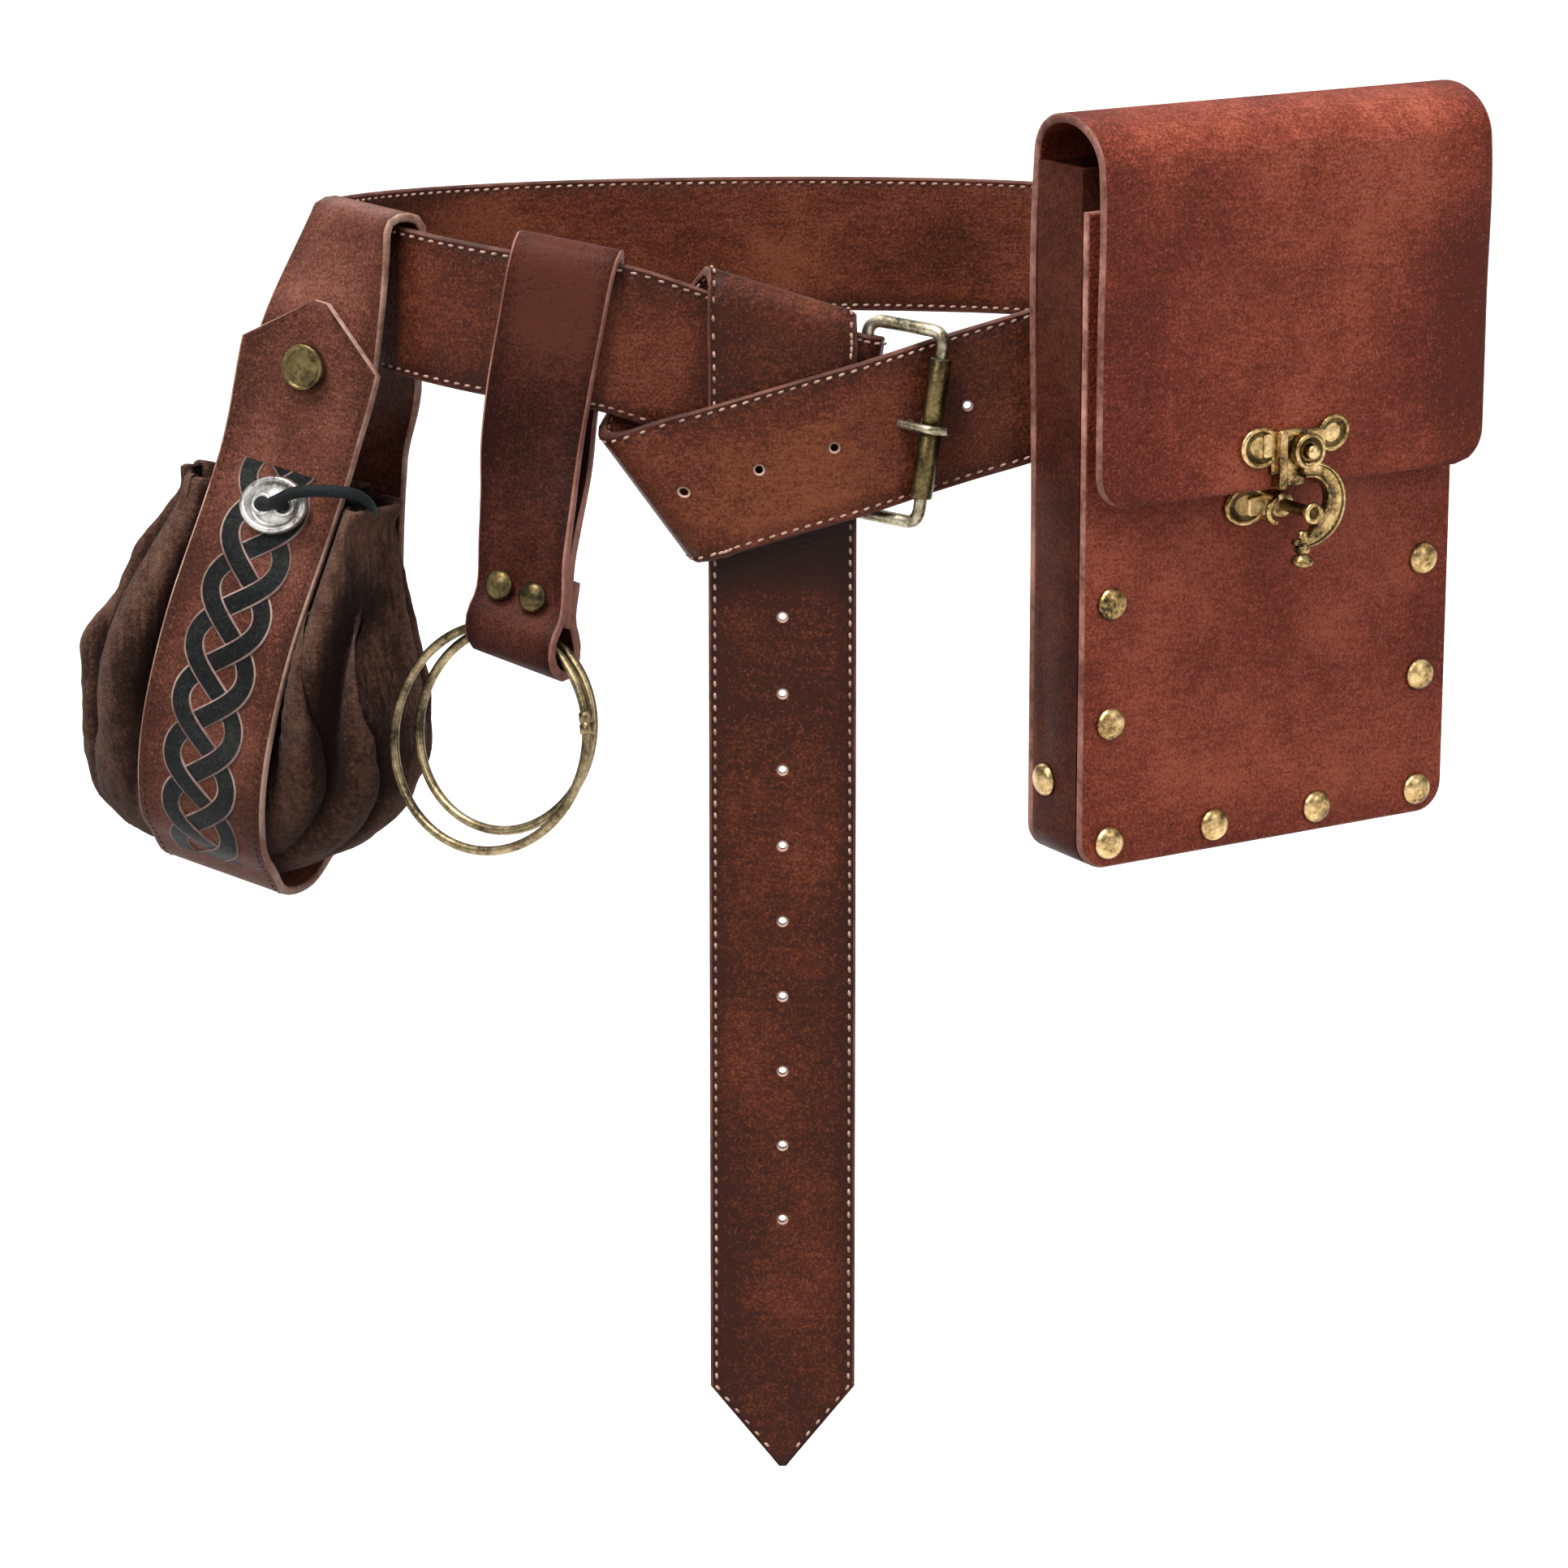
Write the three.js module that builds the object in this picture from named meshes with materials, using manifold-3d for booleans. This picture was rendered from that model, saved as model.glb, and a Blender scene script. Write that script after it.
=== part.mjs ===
// Leather waist belt with a belt bag, a drawstring pouch and a ring hanger.
// Millimetres and degrees, +Z up. The origin is the middle of the waist, level with the belt at the
// back. The wearer's front faces -Y, and +X is to the viewer's right.

import * as THREE from 'three';
import { mergeVertices } from 'three/addons/utils/BufferGeometryUtils.js';
import Module from 'manifold-3d';

const wasm = await Module();
wasm.setup();

const gap = 0.3; // clearance between neighbouring pieces

// The worn loop: two half ellipses joined by straight stretches at the front and the back
const waist = { left: 45, right: 54, reach: 87, depth: 80 };

const belt = {
  width: 40,
  thickness: 3,
  holeRadius: 1.9,
  holePitch: 21,
  firstHole: 71, // from the tip
  holeCount: 22,
  tailShoulder: -306, // height where the pointed end starts
  tailTip: -329,
  tipWidth: 2,
};

// Height of the belt's middle line, by distance walked from the buckle round the wearer's right side
const beltHeights = [
  { along: 0, z: -34.2 },
  { along: 40, z: -23.4 },
  { along: 66, z: -15 },
  { along: 84, z: -13.2 },
  { along: 110, z: -9.6 },
  { along: 148, z: -4.4 },
  { along: 196, z: -3.5 },
  { along: 262, z: -2 },
  { along: 372, z: 0 },
  { along: 450, z: -1.5 },
  { along: 508, z: -6 },
  { along: 557, z: -12 },
  { along: 609, z: -19 },
];

// The free end: out through the buckle, folded down and back, up behind the belt, over and down
const knot = {
  bandSlope: 0.295,
  bandHeight: -47.6, // of the band's middle line at x = 0
  bandDepth: 8.4, // distances in front of the belt's middle surface
  bandIn: 50, // x where the band starts to rise out of the waist line
  bandOut: 16, // x where it is fully in front
  foldX: -29,
  heading: 56.2, // climb of the hidden stretch behind the belt
  hiddenDepth: -5,
  overTop: -7.9, // height of the upper fold's axis at x = 0
  tailDepth: 3.8,
};

const buckle = {
  x: 39.4, // middle of the roller bar
  z: -38.6,
  slope: -8,
  length: 20, // between the two cross bars
  halfHeight: 25.9,
  wire: 1.8, // radius
  barDepth: -3.4, // of the strap bar
  rollerDepth: 8.4,
  rollerRadius: 3,
  rollerHalf: 19,
  corner: 4,
  tongueRadius: 1.3,
  tongueSlot: 5,
  returnLeg: 3.5,
};

const hanger = {
  width: 29,
  thickness: 3,
  clampOffset: 3.4, // layers at the rivets stand this far off the middle one
  foldTop: 4.9,
  loopHeight: -94.6,
  loopRadius: 6.6,
  bulge: { rise: 3.6, offset: 5.4 }, // where the layers part round the rings
  clampRise: 6.6, // layers lie flat from here up, above the loop's middle
  endHeight: -88.4,
  returnTop: -76,
  rivets: [
    { across: -5.6, z: -83 },
    { across: 5.6, z: -83 },
  ],
  rivetRadius: 4.2,
};

// How far the hanger's two layers stand off its middle line, from the belt down to the clamp
const hangerLayers = [
  { z: -12, back: -6, ahead: 3.8 },
  { z: -30, back: -6, ahead: 3.8 },
  { z: -48, back: -6, ahead: 3.8 },
  { z: -60, back: -2, ahead: 3.4 },
  { z: -70, back: 0, ahead: 3.4 },
];

// Middle line of the hanger, turning towards the viewer as it drops
const hangerLine = [
  { z: -107, x: -71.4, y: -92, yaw: 32, tilt: -13 },
  { z: -90, x: -70, y: -89, yaw: 32, tilt: -13 },
  { z: -68, x: -68.2, y: -85, yaw: 31, tilt: -13 },
  { z: -38, x: -66.4, y: -78.4, yaw: 15, tilt: -11 },
  { z: 3, x: -59, y: -79, yaw: 10, tilt: -10 },
  { z: 12, x: -57, y: -79.2, yaw: 8, tilt: -11 },
];

const rings = {
  wire: 1.3, // radius
  large: 32, // outer radii
  small: 29,
  spread: 3.3, // distance between the two wires
  slide: 2, // the small ring sits this far to the right
  knuckle: { length: 6, radius: 1.9, turn: 25 },
};

const bag = {
  place: { x: 131.9, y: -75, z: -153.1 }, // bottom middle of the front face
  turn: { yaw: 31, lean: 4.5, roll: -3 },
  width: 122,
  height: 189,
  depth: 26,
  corner: 8,
  leather: 2.5,
  gusset: 2.2,
  flange: 17,
  flangeSheet: 2,
  frontTop: 178,
  arch: 14, // rise of the flap's arch above the body
  overhang: 2.5, // flap past the body on each side
  flapOut: 10.5, // flap's outer face in front of the body
  flapBottom: 101,
  flapCorner: 9,
  rivetRadius: 4.5,
  rivetInset: 9,
  rivetBase: 7,
  rivetStep: 33,
  rivetRows: 5,
};

const loop = { x: -20, width: 40, bottom: 82, top: 174, tab: 15, standOff: 13.5, thickness: 2.5, ramp: 5 };

const clasp = {
  x: 1.2, // pivot and catch post
  abovePivot: 10, // pivot over the flap's edge
  postDrop: 16.5,
  plate: 1.5,
  hook: 3,
  pin: 1.7,
  bead: 3.2,
};

const pouch = {
  place: { x: -130, y: -46, z: -51.6 }, // middle of the gathered neck
  turn: { yaw: -25, roll: 13 },
  wall: 1.8,
  flutes: 13,
  perFlute: 4,
  lobe: 0.8, // lower is fuller, with narrower valleys
  rim: { tilt: 0.1, from: -60, to: -10 },
};

// The suede shell from the flared rim down: half width, half depth and height of the gathers
const pouchRows = [
  { z: -8, wide: 34, deep: 17, flute: 6, shift: -5.5 },
  { z: -15, wide: 33.5, deep: 15.5, flute: 6.5, shift: -5.5 },
  { z: -30, wide: 39.5, deep: 23.5, flute: 8.5, shift: -6.5 },
  { z: -48, wide: 45.5, deep: 30, flute: 8.5, shift: -4.5 },
  { z: -66, wide: 53, deep: 32.5, flute: 7, shift: -5 },
  { z: -84, wide: 51.5, deep: 31, flute: 4.2, shift: -3.5 },
  { z: -100, wide: 45, deep: 25, flute: 1.8, shift: -7 },
  { z: -111, wide: 36, deep: 16.5, flute: 0.4, shift: -11.5 },
  { z: -117, wide: 27, deep: 9, flute: 0, shift: -12.5 },
];

// The strap's distance from the pouch's axis, the same in front and behind
const strapReach = [
  { z: 46, reach: 12 },
  { z: 28, reach: 13 },
  { z: 0, reach: 16 },
  { z: -20, reach: 21.5 },
  { z: -42, reach: 28.5 },
  { z: -66, reach: 32 },
  { z: -88, reach: 30.5 },
  { z: -106, reach: 23 },
  { z: -115, reach: 12.5 },
];

const pouchStrap = {
  width: 41,
  loopWidth: 38, // over the belt
  crest: 3.4, // rise of the fold over the belt's edge
  thickness: 2.5,
  shoulderWidth: 44,
  shoulder: 31,
  tip: 46,
  tipWidth: 4,
  bottom: -120.6,
  beltAlong: 146, // where the loop sits on the belt
  beltOffset: 4.6,
  backOffset: -6.8,
  legEnd: 17, // free end behind the point
  legTop: 33,
  stud: 28,
  studRadius: 6.5,
};

const button = { x: 3, z: -10, radius: 8.6, thickness: 3, hole: 1.9, spacing: 3.4, turn: -12 };
const cordRadius = 1.5;
const cordSteps = 17;

// Drawstring: out of the button, round the strap's edge, through the suede and round inside the neck
const cordRoute = [
  { x: 5.4, y: -27.8, z: -6.4 },
  { x: 12, y: -25, z: -4 },
  { x: 20.4, y: -21.4, z: -3.4 },
  { x: 25.6, y: -15.6, z: -6 },
  { x: 25.4, y: -9.2, z: -10.6 },
  { x: 18, y: -3.6, z: -13.4 },
  { x: 10, y: -1.6, z: -14 },
];

const colours = {
  belt: 0x5f3220,
  hanger: 0x4b231b,
  bag: 0x7d3a2c,
  gusset: 0x4a221a,
  suede: 0x4b342c,
  strap: 0x6e4030,
  brass: 0xb99b5a,
  bronze: 0x6f6440,
  ring: 0x78694b,
  steel: 0xc8bea5,
  pewter: 0xbeb9b4,
  cord: 0x23282a,
};

const leather = (colour) => new THREE.MeshStandardMaterial({ color: colour, roughness: 0.55, metalness: 0 });
const suede = (colour) => new THREE.MeshStandardMaterial({ color: colour, roughness: 0.95, metalness: 0 });
const metal = (colour) => new THREE.MeshStandardMaterial({ color: colour, roughness: 0.35, metalness: 1 });

const rad = THREE.MathUtils.degToRad;
const vec = (x, y, z) => new THREE.Vector3(x, y, z);
const range = (count) => Array.from({ length: count }, (_, i) => i);
const pointOf = ({ x, y, z }) => vec(x, y, z);

function part(name, geometry, material) {
  const mesh = new THREE.Mesh(geometry, material);
  mesh.name = name;
  return mesh;
}

// One column of a table at a given place, with a smooth curve through the rows
function eased(rows, key, at, column) {
  const ordered = [...rows].sort((a, b) => a[key] - b[key]);
  const last = ordered.length - 1;
  const slope = (i) => {
    const before = ordered[Math.max(i - 1, 0)];
    const after = ordered[Math.min(i + 1, last)];
    return (after[column] - before[column]) / (after[key] - before[key]);
  };
  if (at <= ordered[0][key]) return ordered[0][column] + slope(0) * (at - ordered[0][key]);
  if (at >= ordered[last][key]) return ordered[last][column] + slope(last) * (at - ordered[last][key]);
  const i = ordered.findIndex((row) => row[key] > at) - 1;
  const span = ordered[i + 1][key] - ordered[i][key];
  const t = (at - ordered[i][key]) / span;
  const from = ordered[i][column];
  const to = ordered[i + 1][column];
  const t2 = t * t;
  const t3 = t2 * t;
  return from * (2 * t3 - 3 * t2 + 1) + slope(i) * span * (t3 - 2 * t2 + t)
    + to * (3 * t2 - 2 * t3) + slope(i + 1) * span * (t3 - t2);
}

function signedVolume(points, index) {
  let sum = 0;
  for (let i = 0; i < index.length; i += 3) {
    const [a, b, c] = [points[index[i]], points[index[i + 1]], points[index[i + 2]]];
    sum += a.dot(vec(0, 0, 0).crossVectors(b, c));
  }
  return sum / 6;
}

// A closed skin over matching rings of points, capped at both ends unless the rings join up
function loft(rows, joined = false) {
  const sides = rows[0].length;
  const points = rows.flat();
  const index = [];
  const spans = joined ? rows.length : rows.length - 1;
  for (let i = 0; i < spans; i++) {
    const here = i * sides;
    const next = ((i + 1) % rows.length) * sides;
    for (let j = 0; j < sides; j++) {
      const k = (j + 1) % sides;
      index.push(here + j, here + k, next + k, here + j, next + k, next + j);
    }
  }
  if (!joined) {
    const end = (rows.length - 1) * sides;
    for (let j = 1; j < sides - 1; j++) {
      index.push(0, j + 1, j, end, end + j, end + j + 1);
    }
  }
  if (signedVolume(points, index) < 0) index.reverse();
  const geometry = new THREE.BufferGeometry().setFromPoints(points);
  geometry.setIndex(index);
  return geometry;
}

// A strap of even thickness through stations, each with its middle, its direction across and half width
function ribbon(stations, thickness) {
  const last = stations.length - 1;
  const step = (i) => stations[i + 1].at.clone().sub(stations[i].at).normalize();
  const rows = stations.map(({ at, across, half }, i) => {
    const before = step(Math.max(i - 1, 0));
    const after = step(Math.min(i, last - 1));
    const along = before.add(after).normalize();
    const out = vec(0, 0, 0).crossVectors(across, along).normalize().multiplyScalar(thickness / 2);
    const side = across.clone().multiplyScalar(half);
    return [
      at.clone().add(side).add(out),
      at.clone().sub(side).add(out),
      at.clone().sub(side).sub(out),
      at.clone().add(side).sub(out),
    ];
  });
  return loft(rows);
}

function solidOf(geometry) {
  const bare = geometry.clone();
  bare.deleteAttribute('normal');
  bare.deleteAttribute('uv');
  const merged = mergeVertices(bare, 1e-4);
  const mesh = new wasm.Mesh({
    numProp: 3,
    vertProperties: new Float32Array(merged.attributes.position.array),
    triVerts: new Uint32Array(merged.index.array),
  });
  return new wasm.Manifold(mesh);
}

function geometryOf(solid) {
  const mesh = solid.getMesh();
  const geometry = new THREE.BufferGeometry();
  geometry.setAttribute('position', new THREE.BufferAttribute(mesh.vertProperties, 3));
  geometry.setIndex(new THREE.BufferAttribute(mesh.triVerts, 1));
  return geometry;
}

const join = (first, ...others) =>
  geometryOf(others.reduce((solid, other) => solid.add(solidOf(other)), solidOf(first)));
const cut = (first, ...tools) =>
  geometryOf(tools.reduce((solid, tool) => solid.subtract(solidOf(tool)), solidOf(first)));

// Stand a turned shape, made about the Y axis, at a point with its axis along a direction
function stand(geometry, at, direction) {
  const turn = new THREE.Quaternion().setFromUnitVectors(vec(0, 1, 0), direction.clone().normalize());
  return geometry.applyQuaternion(turn).translate(at.x, at.y, at.z);
}

const pinHole = (radius, length, sides = 10) => new THREE.CylinderGeometry(radius, radius, length, sides);

function tube(points, radius, steps, sides = 8) {
  const section = new THREE.Shape();
  section.absarc(0, 0, radius, 0, 2 * Math.PI);
  const outline = new THREE.Shape(section.getSpacedPoints(sides).slice(0, sides));
  const path = new THREE.CatmullRomCurve3(points, false, 'centripetal');
  return new THREE.ExtrudeGeometry(outline, { steps, extrudePath: path });
}

// A turned shape about the Y axis from a profile of radius and height, whichever way it is listed
function lathe(profile, sides) {
  const points = profile.map(([r, h]) => new THREE.Vector2(r, h));
  if (THREE.ShapeUtils.area(points) < 0) points.reverse();
  return new THREE.LatheGeometry(points, sides);
}

// A dome rivet whose head sits on y = 0 and whose stem goes down through the layers to a flat cap
function rivet(radius, grip, sides = 8) {
  const stem = radius * 0.36;
  const rise = radius * 0.56;
  const cap = radius * 0.8;
  const capThickness = 0.8;
  return lathe([
    [0, rise],
    [radius * 0.62, rise * 0.8],
    [radius, 0],
    [stem, 0],
    [stem, -grip],
    [cap, -grip],
    [0, -grip - capThickness],
  ], sides);
}
const stemHole = (radius) => radius * 0.36 + 2 * gap;

// A plate in the XZ plane, its face at y = front and its thickness towards +Y
function plate(shape, front, thickness, arcSteps = 5) {
  const slab = new THREE.ExtrudeGeometry(shape, {
    depth: thickness, bevelEnabled: false, curveSegments: arcSteps,
  });
  return slab.rotateX(Math.PI / 2).translate(0, front + thickness, 0);
}

// Front of the belt: x across, z up, and depth in front of the belt's middle surface
const front = (x, z, depth) => vec(x, -waist.depth - depth, z);

const buckleAxes = {
  along: vec(Math.cos(rad(buckle.slope)), 0, Math.sin(rad(buckle.slope))),
  up: vec(-Math.sin(rad(buckle.slope)), 0, Math.cos(rad(buckle.slope))),
};

// A point of the buckle: back from the roller bar, up the bar, and depth
function buckleAt(back, up, depth) {
  return front(buckle.x, buckle.z, depth)
    .addScaledVector(buckleAxes.along, -back)
    .addScaledVector(buckleAxes.up, up);
}

const strapBar = buckleAt(buckle.length, 0, buckle.barDepth);

function waistPath() {
  const { left, right, reach, depth } = waist;
  const at = (x, y) => new THREE.Vector2(x, y);
  const quarter = Math.PI / 2;
  const path = new THREE.CurvePath();
  path.add(new THREE.LineCurve(at(strapBar.x, -depth), at(-left, -depth)));
  path.add(new THREE.EllipseCurve(-left, 0, reach, depth, -quarter, quarter, true));
  path.add(new THREE.LineCurve(at(-left, depth), at(right, depth)));
  path.add(new THREE.EllipseCurve(right, 0, reach, depth, quarter, -quarter, true));
  path.add(new THREE.LineCurve(at(right, -depth), at(knot.foldX, -depth)));
  return path;
}

const walk = waistPath();
const walkLength = walk.getLength();
const walkLengths = walk.getCurveLengths();
const bandStart = walkLengths[3] - 25; // along the walk, where the band's straight line begins
const bandLine = (x) => knot.bandHeight + knot.bandSlope * x;

// The band's rows follow the hand-set heights so that the slope runs on smoothly
function heightRows() {
  const rows = [bandStart, bandStart + 20, walkLength].map((along) => {
    const plan = walk.getPoint(along / walkLength);
    return { along, z: bandLine(plan.x) };
  });
  return [...beltHeights, ...rows];
}
const walkHeights = heightRows();

function beltPoint(along) {
  const plan = walk.getPoint(along / walkLength);
  const rising = along > bandStart
    ? knot.bandDepth * (1 - THREE.MathUtils.smoothstep(plan.x, knot.bandOut, knot.bandIn)) : 0;
  const z = along > bandStart ? bandLine(plan.x) : eased(walkHeights, 'along', along, 'z');
  return vec(plan.x, plan.y - rising, z);
}

// Walking direction, outward normal and direction across the belt at a distance from the buckle
function beltFrame(along) {
  const reach = 0.5;
  const step = beltPoint(along + reach).sub(beltPoint(along - reach)).normalize();
  const out = vec(-step.y, step.x, 0).normalize();
  return { at: beltPoint(along), step, out, across: vec(0, 0, 0).crossVectors(step, out).normalize() };
}

const flat = (angle) => vec(Math.cos(rad(angle)), 0, Math.sin(rad(angle)));

// Half a turn round a straight fold line: the strap slides along the line and leaves mirrored
function foldOver({ from, heading, line, depths, steps }) {
  const radius = Math.abs(depths.from - depths.to) / 2;
  const middle = (depths.from + depths.to) / 2;
  const side = Math.sign(depths.from - depths.to);
  const way = flat(heading);
  const axis = flat(line);
  const slide = way.dot(axis);
  const outwards = way.clone().addScaledVector(axis, -slide).normalize();
  const sine = Math.sqrt(1 - slide * slide);
  return range(steps + 1).map((i) => {
    const turn = (Math.PI * i) / steps;
    const at = front(from.x, from.z, middle + side * radius * Math.cos(turn))
      .addScaledVector(axis, (slide * radius * turn) / sine)
      .addScaledVector(outwards, radius * Math.sin(turn));
    return { at, across: axis, half: belt.width / 2 / sine };
  });
}

// Keep each direction across on the same side of the strap as the one before
function sameSide(stations) {
  stations.forEach((station, i) => {
    if (i === 0) return;
    const step = station.at.clone().sub(stations[i - 1].at);
    const back = stations[i - 1].at.clone().sub(stations[Math.max(i - 2, 0)].at);
    const before = vec(0, 0, 0).crossVectors(stations[i - 1].across, i > 1 ? back : step);
    const after = vec(0, 0, 0).crossVectors(station.across, step);
    if (before.dot(after) < 0) station.across = station.across.clone().negate();
  });
  return stations;
}

function buckleEnd() {
  const radius = buckle.wire + gap + belt.thickness / 2;
  const steps = 8;
  const half = belt.width / 2;
  const lift = beltPoint(0).sub(strapBar).dot(buckleAxes.up);
  const leg = buckleAt(buckle.length + buckle.returnLeg, lift, buckle.barDepth - radius);
  const turn = range(steps).map((i) => {
    const angle = -Math.PI / 2 + (Math.PI * i) / steps;
    const back = buckle.length - radius * Math.cos(angle);
    return buckleAt(back, lift, buckle.barDepth + radius * Math.sin(angle));
  });
  return [leg, ...turn].map((at) => ({ at, across: buckleAxes.up, half }));
}

function waistStations() {
  const stride = 11;
  const stop = walkLength - 10;
  const count = Math.ceil(stop / stride);
  return range(count + 1).map((i) => {
    const along = Math.max((stop * i) / count, belt.thickness);
    const { at, across } = beltFrame(along);
    return { at, across, half: belt.width / 2 };
  });
}

function knotStations() {
  const bandHeading = 180 + THREE.MathUtils.radToDeg(Math.atan(knot.bandSlope));
  const lower = foldOver({
    from: { x: knot.foldX, z: bandLine(knot.foldX) },
    heading: bandHeading,
    line: (bandHeading + knot.heading) / 2,
    depths: { from: knot.bandDepth, to: knot.hiddenDepth },
    steps: 10,
  });
  const down = -90;
  const upperLine = (knot.heading + down) / 2;
  const leave = lower[lower.length - 1].at;
  const climb = flat(knot.heading);
  const axis = flat(upperLine);
  const normal = vec(-axis.z, 0, axis.x);
  const distance = vec(0 - leave.x, 0, knot.overTop - leave.z).dot(normal) / climb.dot(normal);
  const meet = leave.clone().addScaledVector(climb, distance);
  const upper = foldOver({
    from: meet,
    heading: knot.heading,
    line: upperLine,
    depths: { from: knot.hiddenDepth, to: knot.tailDepth },
    steps: 10,
  });
  const hang = upper[upper.length - 1].at;
  const tail = [hang.z - 12, -90, -150, -210, -260, belt.tailShoulder, belt.tailTip].map((z) => ({
    at: vec(hang.x, hang.y, z),
    across: vec(1, 0, 0),
    half: (z === belt.tailTip ? belt.tipWidth : belt.width) / 2,
  }));
  return [...lower, ...upper, ...tail];
}

const beltStations = sameSide([...buckleEnd(), ...waistStations(), ...knotStations()]);

// Punched holes at an even pitch along the strap, counted back from the tip
function beltHoles() {
  const drop = belt.thickness / 2 + 0.45;
  const holes = [];
  let walked = 0;
  let wanted = belt.firstHole;
  for (let i = beltStations.length - 1; i > 0 && holes.length < belt.holeCount; i--) {
    const from = beltStations[i];
    const to = beltStations[i - 1];
    const stretch = from.at.distanceTo(to.at);
    while (wanted <= walked + stretch && holes.length < belt.holeCount) {
      const t = (wanted - walked) / stretch;
      const at = from.at.clone().lerp(to.at, t);
      const out = vec(0, 0, 0).crossVectors(from.across, to.at.clone().sub(from.at));
      holes.push(stand(pinHole(belt.holeRadius, 2 * drop, 6), at, out));
      wanted += belt.holePitch;
    }
    walked += stretch;
  }
  return holes;
}

const tonguePoints = [
  buckleAt(buckle.length - 2.6, 0, buckle.barDepth + 2.6),
  buckleAt(buckle.length - 7.5, 0, 1.6),
  buckleAt(8, 0, 6.4),
  buckleAt(4, 0, 10.6),
  buckleAt(0.6, 0, buckle.rollerDepth + buckle.rollerRadius + buckle.tongueRadius + gap),
  buckleAt(-4.4, 0, buckle.rollerDepth + buckle.rollerRadius + buckle.tongueRadius - 0.4),
];

function buildBelt() {
  const strap = ribbon(beltStations, belt.thickness);
  const tongueWay = tube(tonguePoints, buckle.tongueRadius + 2 * gap, 14);
  const slot = new THREE.BoxGeometry(13, 16, buckle.tongueSlot);
  slot.rotateY(-rad(buckle.slope));
  const slotAt = buckleAt(buckle.length - 1, 0, buckle.barDepth);
  slot.translate(slotAt.x, slotAt.y, slotAt.z);
  return part('belt', cut(strap, ...beltHoles(), tongueWay, slot), leather(colours.belt));
}

function buildBuckle() {
  const { length, halfHeight, corner } = buckle;
  const corners = [
    buckleAt(length, -halfHeight, buckle.barDepth),
    buckleAt(0, -halfHeight, buckle.rollerDepth),
    buckleAt(0, halfHeight, buckle.rollerDepth),
    buckleAt(length, halfHeight, buckle.barDepth),
  ];
  const path = new THREE.CurvePath();
  const towards = (from, to) => from.clone().addScaledVector(to.clone().sub(from).normalize(), corner);
  corners.forEach((at, i) => {
    const before = corners[(i + 3) % 4];
    const after = corners[(i + 1) % 4];
    path.add(new THREE.QuadraticBezierCurve3(towards(at, before), at, towards(at, after)));
    path.add(new THREE.LineCurve3(towards(at, after), towards(after, at)));
  });
  const frame = new THREE.TubeGeometry(path, 32, buckle.wire, 6, true);

  const inner = buckle.wire + gap;
  const roller = lathe([
    [inner, -buckle.rollerHalf],
    [buckle.rollerRadius, -buckle.rollerHalf],
    [buckle.rollerRadius, buckle.rollerHalf],
    [inner, buckle.rollerHalf],
    [inner, -buckle.rollerHalf],
  ], 14);
  stand(roller, buckleAt(0, 0, buckle.rollerDepth), buckleAxes.up);

  const arm = tube(tonguePoints, buckle.tongueRadius, 12, 6);
  const eyeRadius = buckle.wire + gap + buckle.tongueRadius;
  const eye = new THREE.TorusGeometry(eyeRadius, buckle.tongueRadius, 6, 12).rotateX(Math.PI / 2);
  stand(eye, strapBar, buckleAxes.up);
  return [
    part('buckle_frame', frame, metal(colours.steel)),
    part('buckle_roller', roller, metal(colours.bronze)),
    part('buckle_tongue', join(eye, arm), metal(colours.steel)),
  ];
}

// Direction across, direction out to the viewer and the middle of the hanger at a height
function hangerFrame(z) {
  const value = (column) => eased(hangerLine, 'z', z, column);
  const yaw = rad(value('yaw'));
  const tilt = rad(value('tilt'));
  const across = vec(Math.cos(yaw) * Math.cos(tilt), -Math.sin(yaw) * Math.cos(tilt), Math.sin(tilt));
  const near = 1;
  const down = ['x', 'y', 'z'].map((column) => column === 'z' ? -2 * near
    : eased(hangerLine, 'z', z - near, column) - eased(hangerLine, 'z', z + near, column));
  const out = vec(0, 0, 0).crossVectors(vec(...down), across).normalize();
  return { at: vec(value('x'), value('y'), z), across, out };
}

const hangerAt = (z, offset) => {
  const { at, out } = hangerFrame(z);
  return at.addScaledVector(out, offset);
};

function hangerRoute() {
  const { clampOffset, foldTop, loopHeight, loopRadius, bulge } = hanger;
  const { back: backOffset, ahead: frontOffset } = hangerLayers[0];
  const clampEnd = loopHeight + hanger.clampRise;
  const middle = (frontOffset + backOffset) / 2;
  const radius = (frontOffset - backOffset) / 2;
  const over = range(9).map((i) => {
    const turn = (Math.PI * i) / 8;
    return { z: foldTop + radius * Math.sin(turn), offset: middle - radius * Math.cos(turn) };
  });
  const under = range(11).map((i) => {
    const turn = (Math.PI * i) / 10;
    return { z: loopHeight - loopRadius * Math.sin(turn), offset: loopRadius * Math.cos(turn) };
  });
  return [
    { z: hanger.endHeight, offset: 0 },
    ...hangerLayers.map(({ z, back }) => ({ z, offset: back })).reverse(),
    ...over,
    ...hangerLayers.map(({ z, ahead }) => ({ z, offset: ahead })),
    { z: clampEnd, offset: clampOffset },
    { z: loopHeight + bulge.rise, offset: bulge.offset },
    ...under,
    { z: loopHeight + bulge.rise, offset: -bulge.offset },
    { z: clampEnd, offset: -clampOffset },
    { z: hanger.returnTop, offset: -clampOffset },
  ];
}

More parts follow.
